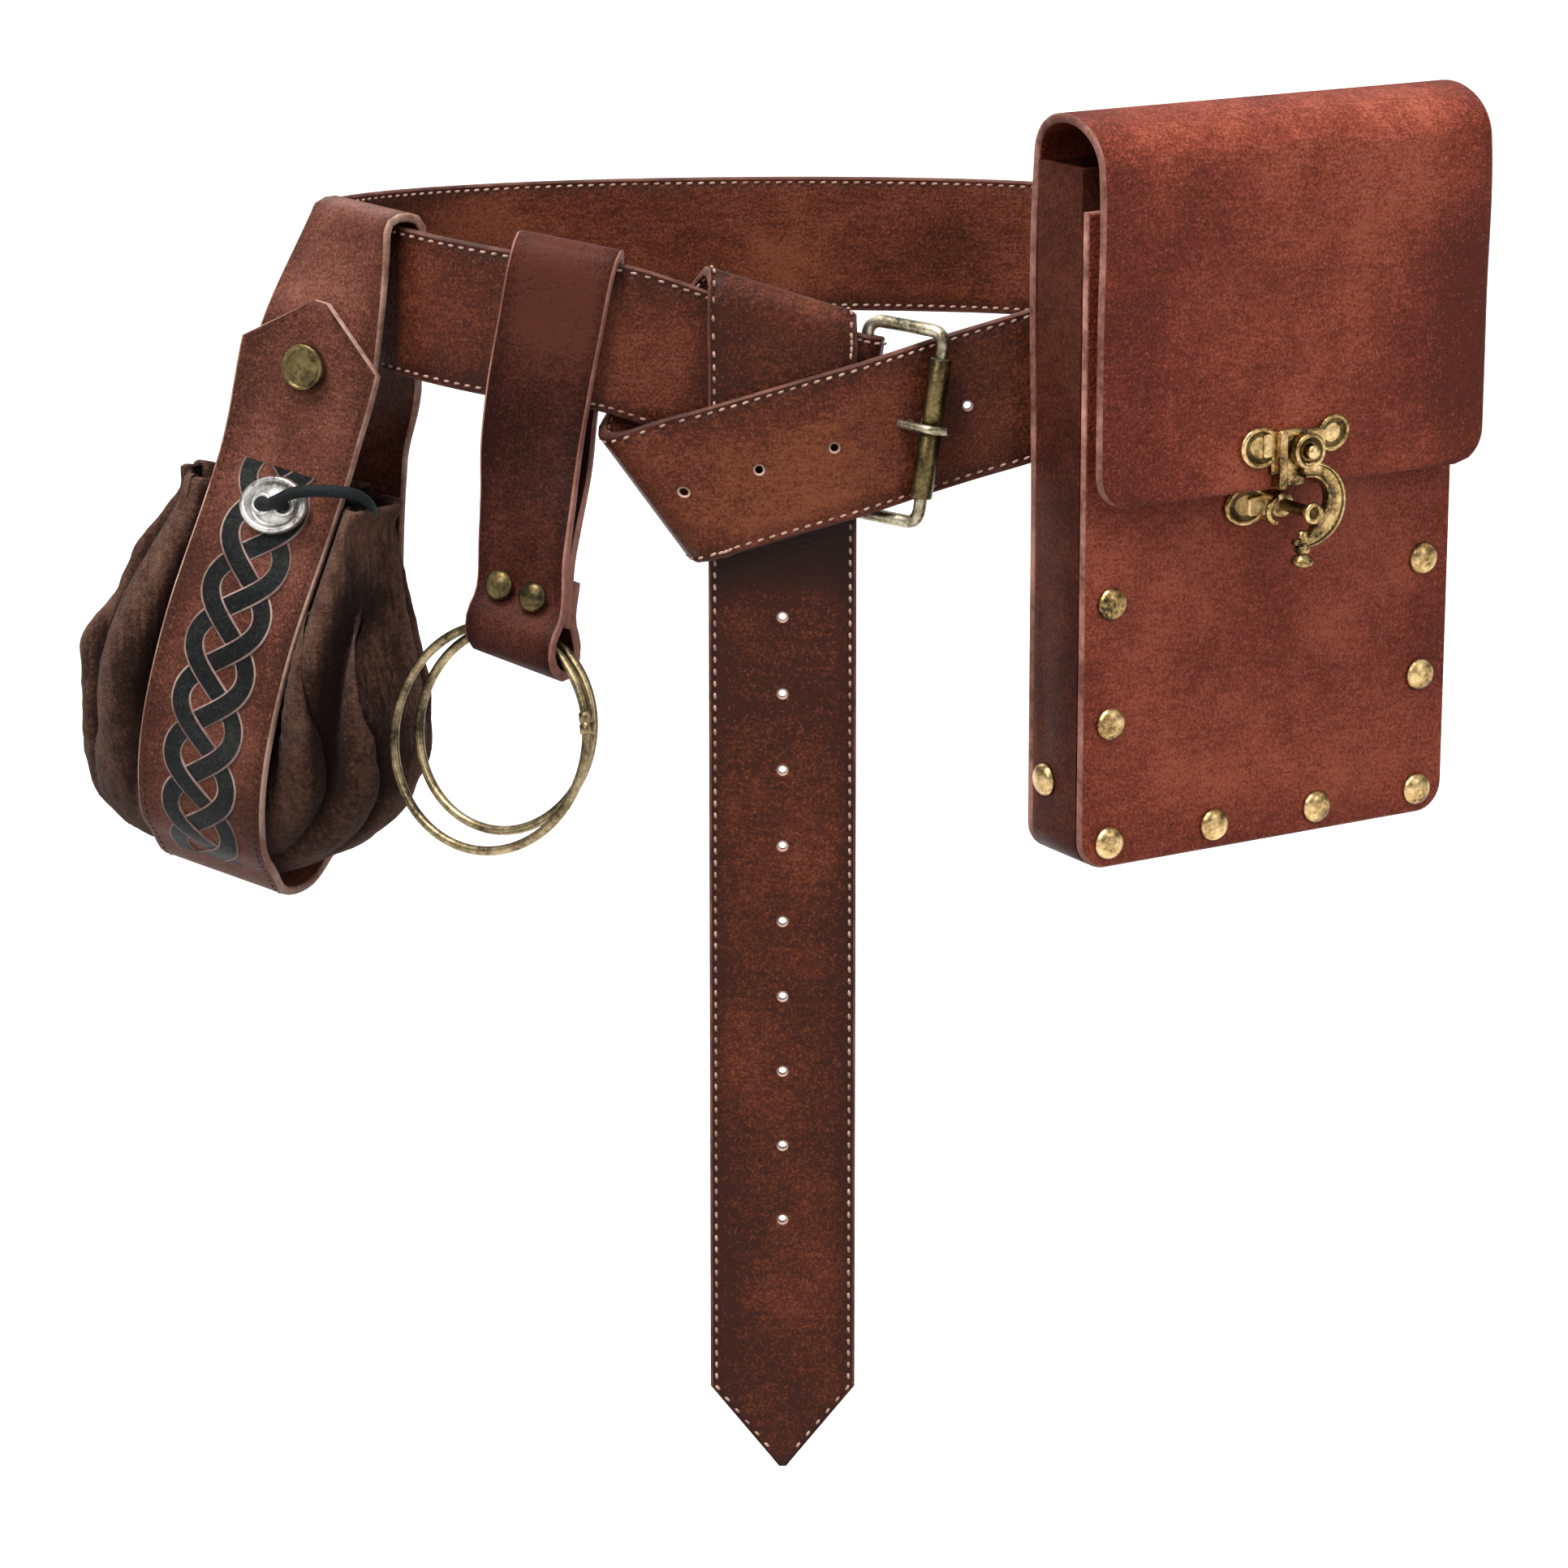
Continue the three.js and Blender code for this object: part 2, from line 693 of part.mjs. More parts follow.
function buildHanger() {
  const stations = hangerRoute().map(({ z, offset }) => ({
    at: hangerAt(z, offset),
    across: hangerFrame(z).across,
    half: hanger.width / 2,
  }));
  const strap = ribbon(stations, hanger.thickness);
  const face = hanger.clampOffset + hanger.thickness / 2 + 2 * gap;
  const seats = hanger.rivets.map(({ across, z }) => {
    const frame = hangerFrame(z);
    return { at: hangerAt(z, face).addScaledVector(frame.across, across), out: frame.out };
  });
  const holes = seats.map(({ at, out }) =>
    stand(pinHole(stemHole(hanger.rivetRadius), 6 * face, 8), at, out));
  const rivets = seats.map(({ at, out }, i) => part(
    `hanger_rivet_${i + 1}`,
    stand(rivet(hanger.rivetRadius, 2 * face), at, out),
    metal(colours.bronze),
  ));
  return [part('hanger', cut(strap, ...holes), leather(colours.hanger)), ...rivets];
}

// Both rings hang in the fold on one line across it, and swing about that line
const ringSeat = hangerFrame(hanger.loopHeight);
const ringRest = hanger.loopRadius - hanger.thickness / 2 - rings.wire - 7 * gap;
const ringDown = vec(0, 0, 0).crossVectors(ringSeat.across, ringSeat.out).normalize();
if (ringDown.z > 0) ringDown.negate();

function buildRing(name, outer, offset, slide) {
  const radius = outer - rings.wire;
  const chord = Math.sqrt(radius ** 2 - (hanger.width / 2) ** 2);
  const centre = ringSeat.at.clone()
    .addScaledVector(ringSeat.out, offset)
    .addScaledVector(ringSeat.across, slide)
    .addScaledVector(ringDown, chord + ringRest);
  const hoop = new THREE.TorusGeometry(radius, rings.wire, 6, 32);
  const turn = new THREE.Matrix4().makeBasis(ringSeat.across, ringDown.clone().negate(), ringSeat.out);
  return { hoop, turn, centre, radius, name };
}

function buildRings() {
  const half = rings.spread / 2;
  const large = buildRing('ring_large', rings.large, half, 0);
  const small = buildRing('ring_small', rings.small, -half, rings.slide);
  const { length, radius, turn } = rings.knuckle;
  const knuckle = pinHole(radius, length, 8);
  knuckle.translate(large.radius, 0, 0).rotateZ(rad(turn));
  large.hoop = join(large.hoop, knuckle);
  return [large, small].map(({ hoop, turn: basis, centre, name }) => {
    hoop.applyMatrix4(basis).translate(centre.x, centre.y, centre.z);
    return part(name, hoop, metal(colours.ring));
  });
}

// Outline of the bag's body in its own XZ plane, with round bottom corners
function bodyOutline(width, height, corner) {
  const side = width / 2;
  const shape = new THREE.Shape();
  shape.moveTo(-side, height);
  shape.lineTo(-side, corner);
  shape.absarc(-side + corner, corner, corner, Math.PI, 1.5 * Math.PI, false);
  shape.absarc(side - corner, corner, corner, 1.5 * Math.PI, 2 * Math.PI, false);
  shape.lineTo(side, height);
  return shape;
}

// The body's outline with its middle taken out, leaving a U of the given width
function bodyRim(rim, height) {
  const outer = bodyOutline(bag.width, height, bag.corner).getPoints(5);
  const inner = bodyOutline(bag.width - 2 * rim, height, Math.max(bag.corner - rim, 1)).getPoints(3);
  inner.forEach((point) => {
    if (point.y < height) point.y += rim;
  });
  return new THREE.Shape([...outer, ...inner.reverse()]);
}

const bagSide = bag.width / 2 - bag.rivetInset;

function bagRivetSeats() {
  const columns = range(bag.rivetRows).flatMap((row) => [-1, 1].map((side) => ({
    x: side * bagSide,
    z: bag.rivetBase + row * bag.rivetStep,
  })));
  const bottom = [-1, 1].map((side) => ({ x: (side * bagSide) / 3, z: bag.rivetBase }));
  return [...columns, ...bottom];
}

// Widths that round off the corners at the end of a strap
function roundEnd(width, corner, steps = 4) {
  return range(steps + 1).map((i) => {
    const turn = (Math.PI / 2) * (i / steps);
    return { inset: corner * (1 - Math.sin(turn)), width: width - 2 * corner * (1 - Math.cos(turn)) };
  }).reverse();
}

function flapStations() {
  const back = bag.depth - bag.leather / 2;
  const face = -bag.flapOut + bag.leather / 2;
  const middle = (back + face) / 2;
  const reach = (back - face) / 2;
  const spring = bag.height;
  const rise = bag.arch + bag.height - spring - bag.leather / 2;
  const flapWidth = bag.width + 2 * bag.overhang;
  const foot = roundEnd(bag.width, bag.corner)
    .map(({ inset, width }) => ({ y: back, z: inset, width }));
  const arch = range(11).map((i) => {
    const turn = (Math.PI * i) / 10;
    const widen = THREE.MathUtils.smoothstep(i, 0, 5);
    return {
      y: middle + reach * Math.cos(turn),
      z: spring + rise * Math.sin(turn),
      width: bag.width + widen * (flapWidth - bag.width),
    };
  });
  const edge = roundEnd(flapWidth, bag.flapCorner).reverse()
    .map(({ inset, width }) => ({ y: face, z: bag.flapBottom + inset, width }));
  const halfway = { back: bag.height / 2, front: (bag.height + bag.flapBottom) / 2 };
  const rows = [
    ...foot,
    { y: back, z: halfway.back, width: bag.width },
    ...arch,
    { y: face, z: halfway.front, width: flapWidth },
    ...edge,
  ];
  return rows.map(({ y, z, width }) => ({ at: vec(0, y, z), across: vec(1, 0, 0), half: width / 2 }));
}

const flapFace = -bag.flapOut;
const pivot = vec(clasp.x, flapFace, bag.flapBottom + clasp.abovePivot);
const outOfBag = vec(0, -1, 0);

const loopTabHeights = [loop.bottom + loop.tab / 2, loop.top - loop.tab / 2];
const loopRivetX = loop.width / 4;
const loopRivetSeats = loopTabHeights.flatMap((z) =>
  [-loopRivetX, loopRivetX].map((x) => ({ x: loop.x + x, z })));

function buildBagBody() {
  const { leather: sheet, depth, flange, flangeSheet } = bag;
  const radius = bag.rivetRadius;
  const hole = stemHole(radius);
  const drill = ({ x, z }, y, length) => pinHole(hole, length, 6).translate(x, y, z);
  const seats = bagRivetSeats();

  const frontPlate = plate(bodyOutline(bag.width, bag.frontTop, bag.corner), 0, sheet);
  const claspHoles = [{ x: clasp.x, z: pivot.z - clasp.postDrop }];
  const front = cut(frontPlate, ...seats.map((seat) => drill(seat, 0, 12)),
    ...claspHoles.map((seat) => drill(seat, 0, 12)));

  const inside = sheet + gap;
  const wall = plate(bodyRim(bag.gusset, bag.height), inside, depth - 2 * inside);
  const frontFlange = plate(bodyRim(flange, bag.height), inside, flangeSheet);
  const backFlange = plate(bodyRim(flange, bag.height), depth - inside - flangeSheet, flangeSheet);
  const sideDrills = [-1, 1].map((side) => pinHole(hole, 14, 8).rotateZ(Math.PI / 2)
    .translate((side * bag.width) / 2, sideSeat.y, sideSeat.z));
  const channel = join(wall, frontFlange, backFlange);
  const gusset = cut(channel, ...seats.map((seat) => drill(seat, inside, 6)), ...sideDrills);

  const cover = ribbon(flapStations(), sheet);
  const pinSeat = { x: pivot.x, z: pivot.z };
  const plateSeats = claspTabs.map(({ x, z }) => ({ x: pivot.x + x, z: pivot.z + z }));
  const flapDrills = [pinSeat, ...plateSeats].map((seat) =>
    pinHole(clasp.pin + gap, 8, 8).translate(seat.x, flapFace, seat.z));
  const backDrills = loopRivetSeats.map((seat) => drill(seat, depth, 8));
  const backFlap = cut(cover, ...flapDrills, ...backDrills);

  return [
    part('bag_front', front, leather(colours.bag)),
    part('bag_gusset', gusset, leather(colours.gusset)),
    part('bag_back_flap', backFlap, leather(colours.bag)),
  ];
}

const sideSeat = { y: 17, z: 22 };

function buildBagRivets() {
  const { leather: sheet, flangeSheet } = bag;
  const grip = sheet + gap + flangeSheet + 2 * gap;
  const fronts = bagRivetSeats().map(({ x, z }, i) => part(
    `bag_rivet_${i + 1}`,
    stand(rivet(bag.rivetRadius, grip), vec(x, -gap, z), outOfBag),
    metal(colours.brass),
  ));
  const sides = [-1, 1].map((side, i) => part(
    `bag_side_rivet_${i + 1}`,
    stand(
      rivet(bag.rivetRadius, bag.gusset + 2 * gap),
      vec(side * (bag.width / 2 + gap), sideSeat.y, sideSeat.z),
      vec(side, 0, 0),
    ),
    metal(colours.brass),
  ));
  return [...fronts, ...sides];
}

function buildBeltLoop() {
  const { bottom, top, tab, ramp, thickness } = loop;
  const seat = bag.depth + gap + thickness / 2;
  const away = seat + loop.standOff;
  const rows = [
    { y: seat, z: bottom },
    { y: seat, z: bottom + tab },
    { y: seat + 2.5, z: bottom + tab + 1.5 },
    { y: away - 2.5, z: bottom + tab + ramp - 1.5 },
    { y: away, z: bottom + tab + ramp },
    { y: away, z: top - tab - ramp },
    { y: away - 2.5, z: top - tab - ramp + 1.5 },
    { y: seat + 2.5, z: top - tab - 1.5 },
    { y: seat, z: top - tab },
    { y: seat, z: top },
  ];
  const strap = ribbon(rows.map(({ y, z }) => ({
    at: vec(loop.x, y, z), across: vec(1, 0, 0), half: loop.width / 2,
  })), thickness);
  const radius = bag.rivetRadius * 0.8;
  const holes = loopRivetSeats.map(({ x, z }) => pinHole(stemHole(radius), 10, 8).translate(x, seat, z));
  const grip = thickness + bag.leather + 3 * gap;
  const rivets = loopRivetSeats.map(({ x, z }, i) => part(
    `bag_loop_rivet_${i + 1}`,
    stand(rivet(radius, grip, 8), vec(x, seat + thickness / 2 + gap, z), vec(0, 1, 0)),
    metal(colours.brass),
  ));
  return [part('bag_belt_loop', cut(strap, ...holes), leather(colours.bag)), ...rivets];
}

// Leaf tabs of the clasp's two plates, from the pivot and from the post, with their half sizes
const claspTabs = [
  { x: -13.8, z: 1.8, wide: 6.4, high: 5.6, turn: -6 },
  { x: 10, z: 3.5, wide: 5.4, high: 4.8, turn: 35 },
];
const catchTabs = [
  { x: -10.5, z: 0.4, wide: 7, high: 5.4, turn: 4 },
];

function leaf({ x, z, wide, high, turn }, thickness) {
  const outline = new THREE.Shape();
  outline.absellipse(0, 0, wide, high, 0, 2 * Math.PI, false, rad(turn));
  const sides = 16;
  const rim = new THREE.Shape(outline.getPoints(sides).slice(0, sides));
  return plate(rim, -thickness, thickness).translate(x, 0, z);
}

function block(width, height, depthFrom, depthTo) {
  const solid = new THREE.BoxGeometry(width, depthTo - depthFrom, height);
  return solid.translate(0, -(depthFrom + depthTo) / 2, 0);
}

function claspPlate() {
  const base = [
    block(22, 7, 0, clasp.plate).translate(-4, 0, 2),
    block(11, 12, 0, clasp.plate).translate(-5, 0, 0),
    ...claspTabs.map((tab) => leaf(tab, clasp.plate)),
  ];
  const frame = block(10.5, 12, 0, 3.2).translate(-10.4, 0, 0);
  const pin = lathe([[0, -3.4], [clasp.pin, -3.4], [clasp.pin, 5.4], [3.1, 5.4], [2.6, 6.8], [0, 7.2]], 10);
  stand(pin, vec(0, 0, 0), outOfBag);
  const feet = claspTabs.map(({ x, z }) => pinHole(clasp.pin, 4.6, 6).translate(x, 1.6, z));
  const solid = join(base[0], ...base.slice(1), frame, pin, ...feet);
  const window = block(5, 6.4, 2, 6).translate(-10.4, 0, 0);
  return cut(solid, window);
}

// A crescent from the pivot eye round the right of the post, ending in a tip under it, with a bead below
function claspHook() {
  const near = clasp.plate + gap;
  const far = near + clasp.hook;
  const rim = { x: 0.5, z: -14.5, outer: 11.6, inner: 6.6 };
  const outline = new THREE.Shape();
  outline.absarc(rim.x, rim.z, rim.outer, rad(100), rad(-112), true);
  outline.absarc(rim.x - 0.8, rim.z + 0.8, rim.inner, rad(-114), rad(98), false);
  const crescent = plate(outline, -far, clasp.hook, 10);
  const eye = stand(pinHole(4.6, clasp.hook, 12), vec(0, -(near + far) / 2, 0), outOfBag);
  const bead = new THREE.SphereGeometry(clasp.bead, 10, 6);
  bead.translate(-1.2, -(near + far) / 2, rim.z - rim.outer - clasp.bead + 1.2);
  const neck = stand(pinHole(1.5, 5, 8), vec(-1.2, -(near + far) / 2, rim.z - rim.outer + 0.6), vec(0, 0, 1));
  const bore = stand(pinHole(clasp.pin + gap, 20, 12), vec(0, 0, 0), outOfBag);
  return cut(join(crescent, eye, neck, bead), bore);
}

function claspCatch() {
  const reach = bag.flapOut + clasp.plate + clasp.hook + 2.2;
  const foot = 3.4;
  const head = 2.9;
  const post = lathe([
    [0, -foot],
    [clasp.pin, -foot],
    [clasp.pin, reach - 2],
    [head, reach - 1.4],
    [head * 0.9, reach + 0.4],
    [0, reach + 1],
  ], 10);
  stand(post, vec(0, 0, 0), outOfBag);
  const boss = lathe([[0, 0], [4.4, 0], [3.4, 3.4], [0, 3.4]], 10);
  stand(boss, vec(0, 0, 0), outOfBag);
  const tabs = catchTabs.map((tab) => leaf(tab, clasp.plate));
  const bridge = block(12, 5.5, 0, clasp.plate).translate(-4, 0, 0);
  return join(bridge, ...tabs, boss, post);
}

function buildClasp() {
  const put = (geometry, at) => geometry.translate(at.x, at.y - gap, at.z);
  const post = vec(clasp.x, 0, pivot.z - clasp.postDrop);
  return [
    part('clasp_plate', put(claspPlate(), pivot), metal(colours.brass)),
    part('clasp_hook', put(claspHook(), pivot), metal(colours.brass)),
    part('clasp_catch', put(claspCatch(), post), metal(colours.brass)),
  ];
}

function buildBag() {
  const group = new THREE.Group();
  const { yaw, lean, roll } = bag.turn;
  group.position.copy(pointOf(bag.place));
  group.rotation.set(rad(lean), rad(roll), rad(yaw), 'ZXY');
  group.add(...buildBagBody(), ...buildBagRivets(), ...buildBeltLoop(), ...buildClasp());
  return group;
}

const reachAt = (z) => eased(strapReach, 'z', z, 'reach');

// One ring of the suede shell: an ellipse with gathers, pressed flat where the strap lies on it
function pouchRing(z, inset) {
  const columns = ['wide', 'deep', 'flute', 'shift'];
  const [wide, deep, flute, shift] = columns.map((column) => eased(pouchRows, 'z', z, column));
  const count = pouch.flutes * pouch.perFlute;
  const strapHalf = pouchStrap.width / 2 + 2;
  const pressed = reachAt(z) - pouchStrap.thickness / 2 - 5 * gap;
  const lift = pouch.rim.tilt * THREE.MathUtils.smoothstep(z, pouch.rim.from, pouch.rim.to);
  return range(count).map((i) => {
    const turn = (2 * Math.PI * i) / count;
    const lobe = Math.abs(Math.sin((pouch.flutes * turn) / 2)) ** pouch.lobe;
    const swell = flute * (lobe - 1) - inset;
    const x = shift + (wide + swell) * Math.sin(turn);
    const y = -(deep + swell) * Math.cos(turn);
    const limit = Math.abs(x) < strapHalf ? pressed - inset : Infinity;
    return vec(x, Math.sign(y) * Math.min(Math.abs(y), limit), z + lift * x);
  });
}

const buttonAxis = vec(0, -1, 0.28).normalize();
const buttonSeat = vec(button.x, -reachAt(button.z) - pouchStrap.thickness / 2 - 8 * gap, button.z);

// A point above one of the button's two holes
function buttonHole(side, rise) {
  const { spacing, turn } = button;
  const flatPoint = vec(side * spacing * Math.cos(rad(turn)), rise, side * spacing * Math.sin(rad(turn)));
  return stand(new THREE.BufferGeometry().setFromPoints([flatPoint]), buttonSeat, buttonAxis);
}

function holePoint(side, rise) {
  return vec(0, 0, 0).fromBufferAttribute(buttonHole(side, rise).attributes.position, 0);
}

// The drawstring's middle line, from inside the left hole of the button
const cordCurve = () => [holePoint(-1, 0.6), holePoint(-1, 3), holePoint(-1, 5.4), ...cordRoute.map(pointOf)];

function buildPouchBody() {
  const outer = [-117, -111, -100, -87, -75, -63, -50, -38, -27, -18, -8].map((z) => pouchRing(z, 0));
  const inner = [-8, -18, -27, -48, -70, -92].map((z) => pouchRing(z, pouch.wall));
  const floor = pouchRing(-110, 2 * pouch.wall);
  const shell = loft([...outer, ...inner, floor]);
  const cordWay = tube(cordCurve(), cordRadius + gap, cordSteps);
  return part('pouch_body', cut(shell, cordWay), suede(colours.suede));
}

// A point and the direction across of the pouch's strap, in the pouch's own frame
function pouchFrame() {
  const { yaw, roll } = pouch.turn;
  const turn = new THREE.Quaternion().setFromEuler(new THREE.Euler(0, rad(roll), rad(yaw), 'ZXY'));
  const back = turn.clone().invert();
  const home = pointOf(pouch.place);
  return {
    place: (point) => point.clone().sub(home).applyQuaternion(back),
    aim: (direction) => direction.clone().applyQuaternion(back),
  };
}

// From the free end under the stud, over the belt, down the back, under and up the front to the point
function strapStations() {
  const { place, aim } = pouchFrame();
  const half = pouchStrap.width / 2;
  const loopHalf = pouchStrap.loopWidth / 2;
  const sideways = vec(1, 0, 0);
  const belly = belt.width / 2;
  const frame = beltFrame(pouchStrap.beltAlong);
  const tangent = aim(frame.step).negate();
  const onBelt = (up, offset) => place(
    frame.at.clone().addScaledVector(frame.across, up).addScaledVector(frame.out, offset),
  );
  const { beltOffset, backOffset } = pouchStrap;
  const legReach = (z) => reachAt(z) - pouchStrap.thickness - 2 * gap;
  const leg = [pouchStrap.legEnd, pouchStrap.stud, pouchStrap.legTop]
    .map((z) => ({ at: vec(0, -legReach(z), z), across: sideways, half: loopHalf }));
  const radius = (beltOffset - backOffset) / 2;
  const crest = range(9).map((i) => {
    const turn = (Math.PI * i) / 8;
    const offset = (beltOffset + backOffset) / 2 + radius * Math.cos(turn);
    const up = belly - 1 + pouchStrap.crest * Math.sin(turn);
    return { at: onBelt(up, offset), across: tangent, half: loopHalf };
  });
  const behind = [8, -8, -belly].map((up) => ({
    at: onBelt(up, backOffset), across: tangent, half: loopHalf,
  }));
  const levels = [0, -9, -20, -31, -42, -54, -66, -77, -88, -98, -106, -112];
  const back = levels.map((z) => ({ at: vec(0, reachAt(z), z), across: sideways }));
  const under = [0.6, 0.2, -0.2, -0.6].map((t) => ({
    at: vec(0, t * reachAt(-115), pouchStrap.bottom + 3.4 * t * t), across: sideways,
  }));
  const rise = [...levels].reverse().map((z) => ({ at: vec(0, -reachAt(z), z), across: sideways }));
  const point = [10, 20, pouchStrap.shoulder, pouchStrap.tip].map((z) => {
    const widen = THREE.MathUtils.smoothstep(z, 0, pouchStrap.shoulder);
    const width = z === pouchStrap.tip ? pouchStrap.tipWidth
      : pouchStrap.width + widen * (pouchStrap.shoulderWidth - pouchStrap.width);
    return { at: vec(0, -reachAt(z), z), across: sideways, half: width / 2 };
  });
  return [...leg, ...crest, ...behind, ...back, ...under, ...rise, ...point]
    .map((station) => ({ half, ...station }));
}

function buildPouchStrap() {
  const { stud, studRadius, thickness } = pouchStrap;
  const strap = ribbon(strapStations(), thickness);
  const seat = vec(0, -reachAt(stud) - thickness / 2 - 3 * gap, stud);
  const stem = 2;
  const grip = 2 * thickness + 9 * gap;
  const head = lathe([
    [0, 2.6],
    [studRadius * 0.78, 1.7],
    [studRadius * 0.88, 2],
    [studRadius, 0],
    [stem, 0],
    [stem, -grip],
    [studRadius * 0.7, -grip],
    [0, -grip - 1],
  ], 14);
  stand(head, seat, outOfBag);
  const hole = pinHole(stem + 2 * gap, 22, 8).translate(seat.x, seat.y, seat.z);
  return [
    part('pouch_strap', cut(strap, hole), suede(colours.strap)),
    part('pouch_stud', head, metal(colours.bronze)),
  ];
}

function buildDrawstring() {
  const { radius, thickness, hole, spacing, turn } = button;
  const disc = lathe([
    [0, 0],
    [radius, 0],
    [radius, thickness * 0.6],
    [radius * 0.86, thickness],
    [radius * 0.7, thickness * 0.72],
    [0, thickness * 0.72],
  ], 16);
  const bores = [-1, 1].map((side) => pinHole(hole, 20, 10)
    .translate(side * spacing * Math.cos(rad(turn)), 0, side * spacing * Math.sin(rad(turn))));
  const face = stand(cut(disc, ...bores), buttonSeat, buttonAxis);
  const cord = tube(cordCurve(), cordRadius, cordSteps);
  return [
    part('pouch_button', face, metal(colours.pewter)),
    part('pouch_cord', cord, suede(colours.cord)),
  ];
}

function buildPouch() {
  const group = new THREE.Group();
  const { yaw, roll } = pouch.turn;
  group.position.copy(pointOf(pouch.place));
  group.rotation.set(0, rad(roll), rad(yaw), 'ZXY');
  group.add(buildPouchBody(), ...buildPouchStrap(), ...buildDrawstring());
  return group;
}

const assembly = new THREE.Group();
assembly.add(buildBelt(), ...buildBuckle(), ...buildHanger(), ...buildRings(), buildBag(), buildPouch());

export default assembly;
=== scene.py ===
import bisect
import itertools
import math
import random
import bmesh
import bpy
from mathutils import Matrix, Vector, noise


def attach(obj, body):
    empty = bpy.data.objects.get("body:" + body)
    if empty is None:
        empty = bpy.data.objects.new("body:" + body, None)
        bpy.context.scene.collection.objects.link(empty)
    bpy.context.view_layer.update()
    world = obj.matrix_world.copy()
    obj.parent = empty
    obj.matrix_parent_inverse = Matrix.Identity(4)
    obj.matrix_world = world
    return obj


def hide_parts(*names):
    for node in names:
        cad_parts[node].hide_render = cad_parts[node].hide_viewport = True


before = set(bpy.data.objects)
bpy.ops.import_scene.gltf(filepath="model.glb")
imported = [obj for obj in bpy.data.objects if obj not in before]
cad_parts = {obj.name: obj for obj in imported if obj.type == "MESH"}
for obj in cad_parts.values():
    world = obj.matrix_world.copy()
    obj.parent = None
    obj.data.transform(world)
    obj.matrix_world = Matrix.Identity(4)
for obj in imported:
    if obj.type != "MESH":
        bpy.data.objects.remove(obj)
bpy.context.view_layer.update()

mm = 0.001
print("frame loaded,", len(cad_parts), "nodes")


# shader helpers
class Sock:
    def __init__(self, nodes, socket):
        self.nodes = nodes
        self.socket = socket

    def maths(self, operation, first, second):
        return self.nodes.node("ShaderNodeMath", {"operation": operation}, [first, second])

    def __add__(self, other):
        return self.maths("ADD", self, other)

    def __radd__(self, other):
        return self.maths("ADD", other, self)

    def __sub__(self, other):
        return self.maths("SUBTRACT", self, other)

    def __rsub__(self, other):
        return self.maths("SUBTRACT", other, self)

    def __mul__(self, other):
        return self.maths("MULTIPLY", self, other)

    def __rmul__(self, other):
        return self.maths("MULTIPLY", other, self)


class NodeSet:
    # the nodes of one finish, or of the studio's air
    def __init__(self, tree):
        self.tree = tree

    def node(self, kind, settings, sockets, output=0):
        made = self.tree.nodes.new(kind)
        for key, value in settings.items():
            if key == "stops":
                self.setStops(made.color_ramp, value)
            else:
                setattr(made, key, value)
        pairs = sockets.items() if isinstance(sockets, dict) else enumerate(sockets)
        for key, value in pairs:
            self.feed(made.inputs[key], value)
        return Sock(self, made.outputs[output])

    def setStops(self, ramp, stops):
        while len(ramp.elements) < len(stops):
            ramp.elements.new(0.5)
        for element, (at, colour) in zip(ramp.elements, stops):
            element.position = at
            element.color = (*colour, 1)

    def feed(self, socket, value):
        if isinstance(value, Sock):
            self.tree.links.new(value.socket, socket)
        elif hasattr(value, "__len__") and len(value) == 3 and len(socket.default_value) == 4:
            socket.default_value = (*value, 1)
        else:
            socket.default_value = value


class Paint(NodeSet):
    def __init__(self, name, **fixed):
        self.material = bpy.data.materials.new(name)
        self.material.use_nodes = True
        super().__init__(self.material.node_tree)
        self.shader = self.tree.nodes["Principled BSDF"]
        self.finish(**fixed)
        self.place = self.node("ShaderNodeTexCoord", {}, {}, "Object")

    def attribute(self, name):
        return self.node("ShaderNodeAttribute", {"attribute_name": name}, {}, "Fac")

    def cloud(self, scale, detail=4, roughness=0.55, vector=None):
        sockets = {"Vector": vector or self.place, "Scale": scale, "Detail": detail, "Roughness": roughness}
        return self.node("ShaderNodeTexNoise", {}, sockets)

    def cells(self, scale):
        return self.node("ShaderNodeTexVoronoi", {}, {"Vector": self.place, "Scale": scale}, "Distance")

    def ramp(self, factor, stops):
        return self.node("ShaderNodeValToRGB", {"stops": stops}, {"Fac": factor})

    def grade(self, factor, low, high):  # 0 at low, 1 at high
        sockets = {"Value": factor, "From Min": low, "From Max": high, "To Min": 0.0, "To Max": 1.0}
        return self.node("ShaderNodeMapRange", {}, sockets)

    def mix(self, factor, first, second):
        return self.node("ShaderNodeMix", {"data_type": "RGBA"}, {0: factor, 6: first, 7: second}, 2)

    def stretch(self, x, y, z):
        return self.node("ShaderNodeMapping", {}, {"Vector": self.place, "Scale": (x, y, z)})

    def bump(self, height, strength, distance):
        return self.node("ShaderNodeBump", {}, {"Height": height, "Strength": strength, "Distance": distance})

    def finish(self, **sockets):
        for socket, value in sockets.items():
            self.feed(self.shader.inputs[socket.replace("_", " ")], value)
        return self.material


# studio
studio = {
    "eye": (0, -1389.9, 94.2), "pitch": 10, "sensor": 36, "lens": 36 * 6000 / 1932, "farthest": 200,
    "floorHeight": -1000, "floorSize": 120, "floorCells": 8, "floorColour": (0.94, 0.94, 0.94),
    "floorRoughness": 0.9,
    "air": [(0.0, 0.32), (0.44, 0.32), (0.45, 1.0), (0.532, 1.0), (0.555, 0.13), (0.66, 0.18),
            (0.8, 0.95), (1.0, 1.2)],  # height from straight down to straight up, brightness
    "skyLight": 2.8, "skyAngle": 18, "skyFrom": (-0.32, -0.42, 1.28),
    "lamps": [  # place, target, size, watts
        ((-650, -1000, 700), (0, -40, -80), 420, 6),
        ((900, -800, 350), (60, -40, -80), 500, 2.5),
        ((-500, 900, 600), (0, 0, -60), 600, 4),
    ],
}


